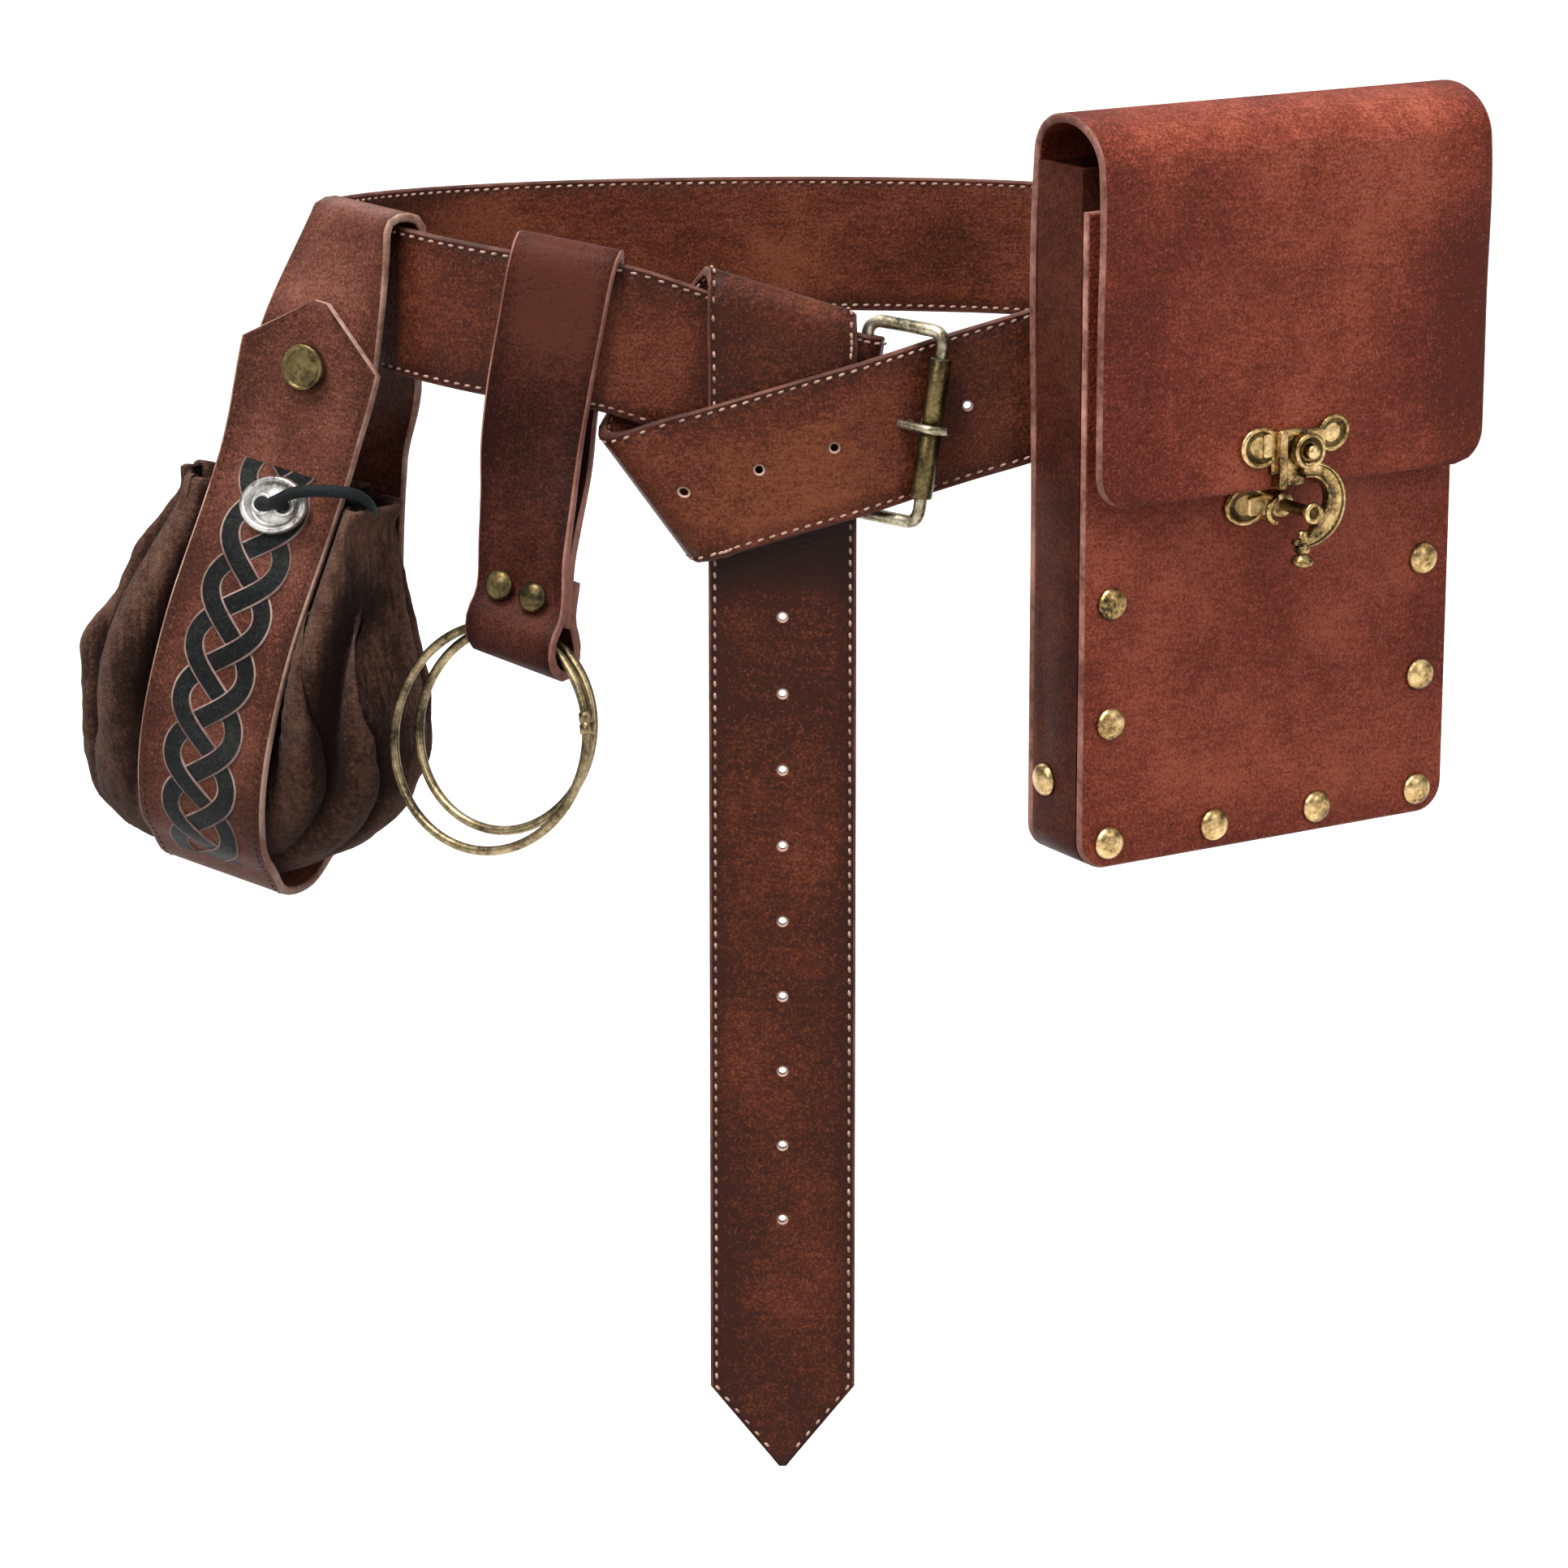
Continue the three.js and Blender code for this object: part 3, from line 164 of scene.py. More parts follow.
def addToScene(name, data):
    made = bpy.data.objects.new(name, data)
    bpy.context.scene.collection.objects.link(made)
    return made


def makeCamera():
    camera = addToScene("camera", bpy.data.cameras.new("camera"))
    camera.data.sensor_width = studio["sensor"]
    camera.data.lens = studio["lens"]
    camera.data.clip_end = studio["farthest"]
    camera.location = Vector(studio["eye"]) * mm
    camera.rotation_euler = (math.radians(90 - studio["pitch"]), 0, 0)
    bpy.context.scene.camera = camera


def addLamp(name, kind, energy, aim):
    lamp = addToScene(name, bpy.data.lights.new(name, kind))
    lamp.data.energy = energy
    lamp.rotation_euler = aim.to_track_quat("-Z", "Y").to_euler()
    return lamp


def makeLight():
    for i, (place, target, size, watts) in enumerate(studio["lamps"]):
        lamp = addLamp(f"lamp{i}", "AREA", watts, Vector(target) - Vector(place))
        lamp.data.size = size * mm
        lamp.location = Vector(place) * mm
    sky = addLamp("skyLight", "SUN", studio["skyLight"], -Vector(studio["skyFrom"]))
    sky.data.angle = math.radians(studio["skyAngle"])
    world = bpy.data.worlds.new("studioAir")
    world.use_nodes = True
    air = NodeSet(world.node_tree)
    place = air.node("ShaderNodeTexCoord", {}, {}, "Generated")
    up = air.node("ShaderNodeSeparateXYZ", {}, [place], "Z")
    height = air.node("ShaderNodeMapRange", {}, {"Value": up, "From Min": -1})
    stops = [(at, (level, level, level)) for at, level in studio["air"]]
    glow = air.node("ShaderNodeValToRGB", {"stops": stops}, {"Fac": height})
    air.feed(air.tree.nodes["Background"].inputs["Color"], glow)
    bpy.context.scene.world = world


def makeFloor():
    cells = studio["floorCells"]
    bm = bmesh.new()
    bmesh.ops.create_grid(bm, x_segments=cells, y_segments=cells, size=studio["floorSize"])
    bmesh.ops.translate(bm, verts=bm.verts, vec=(0, 0, studio["floorHeight"] * mm))
    mesh = bpy.data.meshes.new("floor")
    bm.to_mesh(mesh)
    bm.free()
    paper = Paint("paper", Base_Color=studio["floorColour"], Roughness=studio["floorRoughness"])
    mesh.materials.append(paper.material)
    floor = addToScene("floor", mesh)
    floor.visible_diffuse = False  # keeps the light on the leather from above


bpy.context.scene.view_settings.view_transform = "Standard"
makeCamera()
makeLight()
makeFloor()
print("studio ready")


# finishes
def waxedLeather(name, dark, middle, light, gloss=0.42, grain=0.35, blotch=22.0, sheen=0.1):
    # soft broad clouds, a fine grain with pale flecks that are partly painted glints, dark burnished borders,
    # and stretches of painted shadow and painted highlight read from the mesh's attribute
    paint = Paint(name, Coat_Weight=sheen * 0.2, Coat_Roughness=0.32, Specular_IOR_Level=sheen)
    # the mesh's attribute: burnished borders, plus painted shadow and painted highlight along a strap
    burnish = paint.attribute("burnish")
    broad = paint.cloud(blotch, 3, 0.5)
    patch = paint.cloud(blotch * 5.3, 4, 0.6)
    rubbed = paint.cloud(560.0, 4, 0.7)
    speck = paint.cloud(1450.0, 3, 0.6)
    wrinkle = paint.cloud(1.0, 3, 0.6, paint.stretch(170.0, 170.0, 780.0))
    # the attribute darkens the tone by the borders and in painted shadow, and lightens it under a painted
    # highlight
    blend = broad * 0.36 + patch * 0.1 + rubbed * 0.12 + speck * 0.32 + wrinkle * 0.1 - burnish * 0.065
    tone = paint.ramp(blend, [(0.425, dark), (0.5, middle), (0.58, light)])
    # painted shadow: where the attribute passes 1 the tone is drawn toward a far darker colour
    shaded = paint.mix(paint.grade(burnish, 1.0, 2.6) * 0.85, tone, [0.3 * value for value in dark])
    # pale flecks, partly rubbed grain and partly painted glints for the grain's tiny highlights, kept off the
    # darkest borders and out of painted shadow
    scuffsAndGlints = paint.grade(rubbed * 0.35 + speck * 0.65, 0.55, 0.67) * 0.62
    flecked = paint.mix(scuffsAndGlints * (1 - paint.grade(burnish, 0.9, 1.6)), shaded, light)
    pores = paint.cells(900.0)
    height = pores * 0.6 + wrinkle * 0.9 + speck * 0.5
    rough = gloss - 0.08 + patch * 0.2 + pores * 0.12
    return paint.finish(Base_Color=flecked, Roughness=rough, Normal=paint.bump(height, grain, 0.0006))


def cutEdge(name, dark, light):
    paint = Paint(name, Specular_IOR_Level=0.3)
    fibre = paint.cloud(520.0, 4, 0.6)
    wear = paint.cloud(60.0, 3, 0.6)
    colour = paint.mix(paint.grade(wear * 0.7 + fibre * 0.3, 0.4, 0.62), dark, light)
    return paint.finish(Base_Color=colour, Roughness=0.55 + fibre * 0.25,
                        Normal=paint.bump(fibre, 0.4, 0.0004))


def suedeFinish(name, dark, middle, light):
    # the gathers are painted dark in their valleys as shade, with a painted highlight and rubbed pale flecks
    # along their crests
    paint = Paint(name, Specular_IOR_Level=0.06, Sheen_Weight=0.05, Sheen_Roughness=0.5)
    crest = paint.attribute("crest")
    broad = paint.cloud(35.0, 4, 0.55)
    nap = paint.cloud(760.0, 4, 0.75)
    rubbed = paint.cloud(210.0, 5, 0.7)
    brushed = paint.cloud(1.0, 3, 0.6, paint.stretch(520.0, 520.0, 70.0))
    fleck = paint.cells(1500.0)
    # the crest attribute lifts the tone as painted highlight on the crests and drops it as painted shade in
    # valleys and creases
    blend = broad * 0.22 + nap * 0.36 + rubbed * 0.18 + brushed * 0.24 + (crest - 0.74) * 0.42
    tone = paint.ramp(blend, [(0.33, dark), (0.5, middle), (0.68, light)])
    specked = paint.mix(paint.grade(brushed * 0.4 + nap * 0.6, 0.55, 0.7) * crest * 0.45, tone, light)
    height = nap * 0.7 + fleck * 0.5 + rubbed * 0.4
    return paint.finish(Base_Color=specked, Roughness=0.82 + nap * 0.15,
                        Normal=paint.bump(height, 0.6, 0.0007))


def oldMetal(name, bright, worn, deep, gloss):
    paint = Paint(name, Specular_IOR_Level=0.5)
    stain = paint.cloud(110.0, 5, 0.65)
    grit = paint.cloud(1040.0, 3, 0.6)
    colour = paint.ramp(stain * 0.7 + grit * 0.3, [(0.38, deep), (0.48, worn), (0.6, bright)])
    metal = paint.grade(stain, 0.28, 0.46) * 0.25 + 0.75
    rough = gloss + stain * 0.22 + grit * 0.08
    return paint.finish(Base_Color=colour, Metallic=metal, Roughness=rough,
                        Normal=paint.bump(grit, 0.12, 0.0003))


def threadFinish(name, dark, light):
    paint = Paint(name, Specular_IOR_Level=0.15)
    twist = paint.cloud(1400.0, 2, 0.5)
    dirt = paint.cloud(70.0, 3, 0.6)
    colour = paint.mix(paint.grade(dirt * 0.6 + twist * 0.4, 0.38, 0.62), dark, light)
    return paint.finish(Base_Color=colour, Roughness=0.6 + twist * 0.2,
                        Normal=paint.bump(twist, 0.5, 0.0003))


leathers = {
    "beltLeather": dict(dark=(0.032, 0.0066, 0.003), middle=(0.086, 0.0192, 0.008),
                        light=(0.18, 0.05, 0.022), sheen=0.13),
    "hangerLeather": dict(dark=(0.019, 0.0045, 0.003), middle=(0.044, 0.0115, 0.0072),
                          light=(0.085, 0.025, 0.016), gloss=0.4, grain=0.22, sheen=0.05),
    "bagLeather": dict(dark=(0.092, 0.0155, 0.0085), middle=(0.2, 0.037, 0.019),
                       light=(0.36, 0.09, 0.052), gloss=0.4, grain=0.4, blotch=17.0),
    # the side panel: the bag's leather painted much darker than the front as painted shade
    "gussetLeather": dict(dark=(0.025, 0.007, 0.005), middle=(0.055, 0.014, 0.009),
                          light=(0.1, 0.03, 0.018), gloss=0.36, grain=0.18, sheen=0.04),
    "pouchLeather": dict(dark=(0.046, 0.0132, 0.0078), middle=(0.104, 0.032, 0.019),
                         light=(0.2, 0.073, 0.047), gloss=0.5, grain=0.3),
    "plaitBlack": dict(dark=(0.003, 0.0034, 0.0033), middle=(0.0085, 0.0094, 0.0088),
                       light=(0.026, 0.028, 0.026), gloss=0.5, grain=0.3),
}
suedes = {
    "pouchSuede": dict(dark=(0.008, 0.0031, 0.002), middle=(0.032, 0.0136, 0.0088),
                       light=(0.135, 0.069, 0.049)),
}
cutEdges = {
    "beltEdge": dict(dark=(0.045, 0.012, 0.008), light=(0.17, 0.062, 0.04)),
    # a hole's lip: pale raw fibre, made paler still as a painted highlight
    "holeEdge": dict(dark=(0.3, 0.17, 0.12), light=(0.55, 0.4, 0.32)),
    "hangerEdge": dict(dark=(0.17, 0.06, 0.042), light=(0.36, 0.165, 0.125)),
    "bagEdge": dict(dark=(0.12, 0.035, 0.022), light=(0.42, 0.2, 0.15)),
    "pouchEdge": dict(dark=(0.2, 0.09, 0.06), light=(0.5, 0.32, 0.25)),
    "plaitCut": dict(dark=(0.15, 0.08, 0.065), light=(0.4, 0.28, 0.245)),
}
metals = {
    "oldGold": dict(bright=(0.68, 0.49, 0.24), worn=(0.33, 0.21, 0.08), deep=(0.028, 0.018, 0.008),
                    gloss=0.16),
    "goldRecess": dict(bright=(0.2, 0.13, 0.045), worn=(0.06, 0.04, 0.015), deep=(0.012, 0.008, 0.004),
                       gloss=0.4),
    "oldBronze": dict(bright=(0.19, 0.14, 0.06), worn=(0.085, 0.062, 0.025), deep=(0.02, 0.015, 0.007),
                      gloss=0.24),
    "ringBrass": dict(bright=(0.36, 0.28, 0.16), worn=(0.17, 0.128, 0.068), deep=(0.04, 0.029, 0.015),
                      gloss=0.22),
    "buckleMetal": dict(bright=(0.56, 0.5, 0.38), worn=(0.26, 0.22, 0.14), deep=(0.05, 0.04, 0.022),
                        gloss=0.2),
    "pewter": dict(bright=(0.66, 0.64, 0.61), worn=(0.42, 0.4, 0.38), deep=(0.05, 0.048, 0.044),
                   gloss=0.24),
}
threads = {
    "cordBlack": dict(dark=(0.0045, 0.0055, 0.006), light=(0.015, 0.018, 0.02)),
    "thread": dict(dark=(0.24, 0.125, 0.09), light=(0.6, 0.4, 0.32)),
    "darkThread": dict(dark=(0.02, 0.008, 0.006), light=(0.06, 0.024, 0.016)),
}
finishes = {}
for makeFinish, looks in ((waxedLeather, leathers), (suedeFinish, suedes), (cutEdge, cutEdges),
                          (oldMetal, metals), (threadFinish, threads)):
    for finishName, look in looks.items():
        finishes[finishName] = makeFinish(finishName, **look)
print("finishes ready")


# mesh helpers
def hermite(start, leaving, end, arriving, t):
    return (start * (2 * t ** 3 - 3 * t * t + 1) + leaving * (t ** 3 - 2 * t * t + t)
            + end * (3 * t * t - 2 * t ** 3) + arriving * (t ** 3 - t * t))


def eased(rows, at, column):  # smooth curve through a table's rows, read by their first column
    ordered = sorted(rows)
    last = len(ordered) - 1

    def slope(i):
        before, after = ordered[max(i - 1, 0)], ordered[min(i + 1, last)]
        return (after[column] - before[column]) / (after[0] - before[0])

    if at <= ordered[0][0]:
        return ordered[0][column] + slope(0) * (at - ordered[0][0])
    if at >= ordered[last][0]:
        return ordered[last][column] + slope(last) * (at - ordered[last][0])
    i = next(k for k, row in enumerate(ordered) if row[0] > at) - 1
    span = ordered[i + 1][0] - ordered[i][0]
    t = (at - ordered[i][0]) / span
    return hermite(ordered[i][column], slope(i) * span, ordered[i + 1][column], slope(i + 1) * span, t)


def smoothstep(value, low, high):
    t = min(max((value - low) / (high - low), 0.0), 1.0)
    return t * t * (3 - 2 * t)


def runsOf(gaps):  # distance along to each point
    return list(itertools.accumulate(gaps, initial=0.0))


def spanAt(runs, at):  # which stretch a distance falls in, and the share of it that is passed
    low = min(max(bisect.bisect_right(runs, at) - 1, 0), len(runs) - 2)
    return low, (at - runs[low]) / max(runs[low + 1] - runs[low], 1e-9)


def around(count):
    return [2 * math.pi * k / count for k in range(count)]


def cornerArc(x, z, radius, start, steps):  # a quarter turn, from a start in degrees
    turns = [math.radians(start + 90 * k / steps) for k in range(steps + 1)]
    return [(x + radius * math.cos(a), z + radius * math.sin(a)) for a in turns]


def turnsOf(lean=0, roll=0, yaw=0):
    turn = Matrix.Rotation(math.radians(yaw), 3, "Z") @ Matrix.Rotation(math.radians(lean), 3, "X")
    return turn @ Matrix.Rotation(math.radians(roll), 3, "Y")


def mirrored(side, middle=(0,)):  # lines across a strap, from those on one side
    return [-t for t in side] + list(middle) + side[::-1]


def ringFaces(rows, count, start=0, looped=False):
    # faces between rings of points, then a cap on each end, or on round to the first ring
    faces = []
    for r in range(rows if looped else rows - 1):
        low, high = start + r * count, start + (r + 1) % rows * count
        for k in range(count):
            n = (k + 1) % count
            faces.append((low + k, low + n, high + n, high + k))
    if not looped:
        faces.append(tuple(start + k for k in range(count)))
        faces.append(tuple(start + (rows - 1) * count + k for k in range(count)))
    return faces


def joinRings(faces, first, second):
    for k in range(len(first)):
        n = (k + 1) % len(first)
        faces.append((first[k], first[n], second[n], second[k]))


def addPiece(name, points, faces, materials, slots=None, body="root", replaced=()):
    mesh = bpy.data.meshes.new(name)
    mesh.from_pydata([tuple(Vector(p) * mm) for p in points], [], faces)
    bm = bmesh.new()
    bm.from_mesh(mesh)
    bmesh.ops.recalc_face_normals(bm, faces=bm.faces)
    bm.to_mesh(mesh)
    bm.free()
    return addMesh(name, mesh, materials, slots, body, replaced)


def addMesh(name, mesh, materials, slots=None, body="root", replaced=()):
    for finish in materials:
        mesh.materials.append(finishes[finish])
    for i, polygon in enumerate(mesh.polygons):
        polygon.use_smooth = True
        if slots:
            polygon.material_index = slots[i]
    piece = addToScene(name, mesh)
    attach(piece, body)
    if replaced:
        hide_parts(*replaced)
    return piece


def setAttribute(piece, name, values):
    made = piece.data.attributes.new(name=name, type="FLOAT", domain="POINT")
    made.data.foreach_set("value", values)


class Strap:
    # a strap through stations of (middle, direction across, half width), read by distance along it
    def __init__(self, stations, thickness, width):
        self.places = [Vector(place) for place, _, _ in stations]
        self.across = [Vector(across).normalized() for _, across, _ in stations]
        self.halves = [half for _, _, half in stations]
        self.thickness = thickness
        self.half = width / 2
        steps = [b - a for a, b in zip(self.places, self.places[1:])]
        gaps = [step.length for step in steps]
        self.runs = runsOf(gaps)
        self.length = self.runs[-1]
        slopes = [step / max(gap, 1e-6) for step, gap in zip(steps, gaps)]
        self.pulls = [slopes[0]]
        for i in range(1, len(gaps)):
            back, on = gaps[i - 1], gaps[i]
            self.pulls.append((slopes[i - 1] * on + slopes[i] * back) / (back + on))
        self.pulls.append(slopes[-1])

    def frame(self, s):
        low, t = spanAt(self.runs, min(max(s, 0.0), self.length))
        span = self.runs[low + 1] - self.runs[low]
        a, b = self.places[low], self.places[low + 1]
        m, n = self.pulls[low] * span, self.pulls[low + 1] * span
        along = (a * (6 * t * t - 6 * t) + m * (3 * t * t - 4 * t + 1)
                 + b * (6 * t - 6 * t * t) + n * (3 * t * t - 2 * t)).normalized()
        across = self.across[low].lerp(self.across[low + 1], t).normalized()
        out = across.cross(along).normalized()
        half = self.halves[low] + (self.halves[low + 1] - self.halves[low]) * t
        return hermite(a, m, b, n, t), across, out, half

    def point(self, s, t, depth):  # t across in mm of the full width, depth from the middle surface
        at, across, out, half = self.frame(s)
        return at + across * (t * half / self.half) + out * depth

    def crest(self):  # distance along to the highest place
        return max(range(int(self.length)), key=lambda s: self.frame(s)[0].z)

    def fromEdge(self, s, side, inset, depth):
        at, across, out, half = self.frame(s)
        return at + across * side * (half - inset) + out * depth, out


strapCut = {
    "lip": 0.7, "edgeIn": 0.12, "edgeDown": 0.35, "edgeWall": 0.9, "groove": 0.3, "holeCell": 0.72,
    "holeRim": [(0.25, 0.0, 0), (-0.3, 0.5, 2)],  # past the hole's radius, depth, finish
}


def stationWalk(length, holes, step, cell):
    # distances for the rows: close rows round each hole, even rows between them
    fixed = [0.0]
    for hole in sorted(holes):
        fixed += [hole + cell * k for k in (-2, -1, 0, 1, 2)]
    fixed.append(length)
    rows = []
    for a, b in zip(fixed, fixed[1:]):
        count = max(1, math.ceil((b - a) / step))
        rows += [a + (b - a) * k / count for k in range(count)]
    return rows + [length]


def strapProfile(strap, lines, groove):
    half, deep = strap.half, strap.thickness / 2
    inset, down, wall = strapCut["edgeIn"], strapCut["edgeDown"], strapCut["edgeWall"]
    top = []
    for t in lines:
        sunk = groove and abs(abs(t) - (half - groove)) < 0.05
        top.append((t, deep - (strapCut["groove"] if sunk else 0)))
    bend = [(half - inset, deep - down), (half, deep - wall)]
    bend += [(t, -d) for t, d in reversed(bend)]
    return top + bend + [(t, -d) for t, d in reversed(top)] + [(-t, -d) for t, d in bend], len(bend)


def makeStrap(name, strap, lines, materials, replaced, step, holes=(), holeRadius=0.0, groove=0.0,
              paintedShading=()):
    # lines: distances across the front, from one edge to the other, without the rounded edges
    # shading stretches: first and last distance, fade and amount of the stretches painted darker as shade or
    # paler as highlight
    deep = strap.thickness / 2
    cell = holeRadius * strapCut["holeCell"]
    profile, bends = strapProfile(strap, lines, groove)
    rows = stationWalk(strap.length, holes, step, cell)
    points = [strap.point(s, t, d) for s in rows for t, d in profile]
    count, backStart = len(profile), len(lines) + bends
    holeRows = {min(range(len(rows)), key=lambda i: abs(rows[i] - hole)): hole for hole in holes}
    middle = [i for i, t in enumerate(lines) if abs(t) < cell * 2.01]
    behind = [backStart + len(lines) - 1 - i for i in middle]
    cut = {(r, c) for row in holeRows for r in range(row - 2, row + 2) for c in middle[:-1] + behind[1:]}
    edgeCells = set(range(len(lines) - 1, backStart)) | set(range(count - bends - 1, count))
    faces, slots = [], []
    for i, face in enumerate(ringFaces(len(rows), count)):
        if divmod(i, count) not in cut:
            faces.append(face)
            slots.append(1 if i % count in edgeCells or len(face) == count else 0)
    for row, hole in holeRows.items():
        rims = []
        for columns, depth in ((middle, deep), (behind, -deep)):
            square = [(row - 2, c) for c in columns] + [(r, columns[-1]) for r in range(row - 1, row + 3)]
            square += [(row + 2, c) for c in reversed(columns[:-1])]
            square += [(r, columns[0]) for r in range(row + 1, row - 2, -1)]
            rim = [r * count + c for r, c in square]
            for past, sink, finish in strapCut["holeRim"]:
                inner = list(range(len(points), len(points) + len(square)))
                for r, c in square:
                    ds, dt = rows[r] - hole, profile[c][0]
                    share = (holeRadius + past) / math.hypot(ds, dt)
                    sunk = depth - math.copysign(sink, depth)
                    points.append(strap.point(hole + ds * share, dt * share, sunk))
                joinRings(faces, rim, inner)
                slots += [finish] * len(square)
                rim = inner
            rims.append(rim)
        joinRings(faces, *rims)
        slots += [1] * len(rims[0])
    piece = addPiece(name, points, faces, materials, slots, replaced=replaced)
    # painted shade and painted highlight along the strap, from the shading stretches
    along = []
    for s in rows:
        along.append(sum(much * smoothstep(s, first - fade, first) * (1 - smoothstep(s, last, last + fade))
                         for first, last, fade, much in paintedShading))
    # per point: that painted shade and highlight, plus borders darker towards the edges, kept in the mesh's
    # attribute
    shade = [dark + smoothstep(abs(t) / strap.half, 0.6, 1.0) for dark in along for t, _ in profile]
    setAttribute(piece, "burnish", shade + [0.0] * (len(points) - len(shade)))


bead = {"sides": 6, "rings": [(-0.5, 0.35), (-0.4, 0.8), (0.0, 1.0), (0.4, 0.8), (0.5, 0.35)], "sink": 0.6}


def makeSeam(name, strap, first, last, seam, finish, faces=(1,)):
    # each stitch is a small plump bead of thread lying along its line, a little below the edge of its hole
    points, quads = [], []
    depth, length, radius = strap.thickness / 2 - 0.05, seam["length"], seam["radius"]

    def stitch(s, side, face):
        at, out = strap.fromEdge(s, side, seam["inset"], face * depth)
        ahead, _ = strap.fromEdge(s + 0.5, side, seam["inset"], face * depth)
        way = (ahead - at).normalized()
        along = (way + seam["wobble"] * out.cross(way) * face).normalized()
        out = out * face
        beside = along.cross(out).normalized()
        quads.extend(ringFaces(len(bead["rings"]), bead["sides"], len(points)))
        for where, swell in bead["rings"]:
            centre = at + along * (where * length) - out * (bead["sink"] * abs(where) * radius)
            for turn in around(bead["sides"]):
                points.append(centre + (beside * math.cos(turn) + out * math.sin(turn)) * radius * swell)

    for side in (-1, 1):
        for face in faces:
            s = first
            while s < last:
                stitch(s, side, face)
                s += seam["pitch"]
    addPiece(name, points, quads, [finish])


def turned(profile, sides, at, axis, start=0, bored=False):
    # points and faces of a turned shape about an axis, profile of (radius, height)
    axis = axis.normalized()
    first = axis.orthogonal().normalized()
    second = axis.cross(first)
    points = []
    for radius, height in profile:
        for turn in around(sides):
            ray = first * math.cos(turn) + second * math.sin(turn)
            points.append(at + axis * height + ray * max(radius, 0.01))
    return points, ringFaces(len(profile), sides, start, bored)


rivet = {"sides": 24, "rise": 0.56, "stem": 0.36, "cap": 0.8, "domeSteps": 8}


def domeProfile(radius, grip):
    rise, stem, cap = (radius * rivet[k] for k in ("rise", "stem", "cap"))
    turns = [math.pi / 2 * k / rivet["domeSteps"] for k in range(rivet["domeSteps"])]
    dome = [(radius * math.sin(a), rise * math.cos(a) ** 0.9) for a in turns]
    rim = [(radius, rise * 0.16), (radius * 1.02, 0.05), (radius * 0.98, 0.0)]
    foot = [(stem, 0.0), (stem, -grip), (cap, -grip), (cap * 0.95, -grip - 0.5), (0.0, -grip - 0.8)]
    return dome + rim + foot


def makeRivets(name, seats, radius, grip, finish, replaced):
    points, faces = [], []
    for at, axis in seats:
        more, quads = turned(domeProfile(radius, grip), rivet["sides"], at, axis, len(points))
        points += more
        faces += quads
    addPiece(name, points, faces, [finish], replaced=replaced)


def tubeOf(path, radius, sides, start=0, closed=False, taper=None):
    # points and faces of a round wire along a path
    count = len(path)
    normal = None
    points, faces = [], []
    for i in range(count):
        before = path[i - 1] if (i or closed) else path[0]
        after = path[(i + 1) % count] if (i < count - 1 or closed) else path[-1]
        along = (after - before).normalized()
        if normal is None:
            normal = along.orthogonal().normalized()
        normal = (normal - along * normal.dot(along)).normalized()
        other = along.cross(normal)
        size = radius * (taper(i / (count - 1)) if taper else 1)
        for turn in around(sides):
            points.append(path[i] + (normal * math.cos(turn) + other * math.sin(turn)) * size)
    if not closed:
        return points, ringFaces(count, sides, start)
    along = (path[1] - path[-1]).normalized()  # bring the last ring's start round to meet the first one's
    carried = (normal - along * normal.dot(along)).normalized()
    first = (points[0] - path[0]).normalized()
    offset = round(math.atan2(along.dot(first.cross(carried)), first.dot(carried)) / (2 * math.pi / sides))
    rings = [list(range(start + r * sides, start + (r + 1) * sides)) for r in range(count)]
    rings.append([rings[0][(k + offset) % sides] for k in range(sides)])
    for a, b in zip(rings, rings[1:]):
        joinRings(faces, a, b)
    return points, faces


def makeTube(name, path, radius, sides, finish, closed=False, body="root", replaced=(), add=None,
             taper=None):
    points, faces = tubeOf(path, radius, sides, 0, closed, taper)
    if add:
        more, quads = add(len(points))
        points += more
        faces += quads
    return addPiece(name, points, faces, [finish], body=body, replaced=replaced)


def curveThrough(points, count):
    # even points along a smooth curve through some points
    steps = 12
    ends = [points[0] * 2 - points[1]] + points + [points[-1] * 2 - points[-2]]
    made = []
    for i in range(len(points) - 1):
        p0, p1, p2, p3 = ends[i:i + 4]
        for t in [k / steps for k in range(steps)]:
            made.append(0.5 * (2 * p1 + (p2 - p0) * t + (2 * p0 - 5 * p1 + 4 * p2 - p3) * t * t
                               + (3 * p1 - p0 - 3 * p2 + p3) * t ** 3))
    made.append(points[-1])
    runs = runsOf([(b - a).length for a, b in zip(made, made[1:])])
    even = []
    for k in range(count):
        low, t = spanAt(runs, runs[-1] * k / (count - 1))
        even.append(made[low].lerp(made[low + 1], min(t, 1)))
    return even


ease = {"flat": 2, "sharp": 40, "smooth": 38, "segments": 2, "profile": 0.6}  # angles in degrees


def dressCopy(name, node, bevel, finish):
    # a solid's own shape with its corners eased
    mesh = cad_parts[node].data.copy()
    mesh.materials.clear()
    bm = bmesh.new()
    bm.from_mesh(mesh)
    bmesh.ops.remove_doubles(bm, verts=bm.verts, dist=1e-6)
    bmesh.ops.dissolve_limit(bm, angle_limit=math.radians(ease["flat"]), verts=bm.verts, edges=bm.edges)
    sharpest = math.radians(ease["sharp"])
    sharp = [e for e in bm.edges if len(e.link_faces) == 2 and e.calc_face_angle(0) > sharpest]
    bmesh.ops.bevel(bm, geom=sharp, offset=bevel * mm, segments=ease["segments"], affect="EDGES",
                    profile=ease["profile"], clamp_overlap=True)
    bmesh.ops.triangulate(bm, faces=[f for f in bm.faces if len(f.verts) > 4])
    bm.to_mesh(mesh)
    bm.free()
    addMesh(name, mesh, [finish], replaced=(node,))
    mesh.set_sharp_from_angle(angle=math.radians(ease["smooth"]))


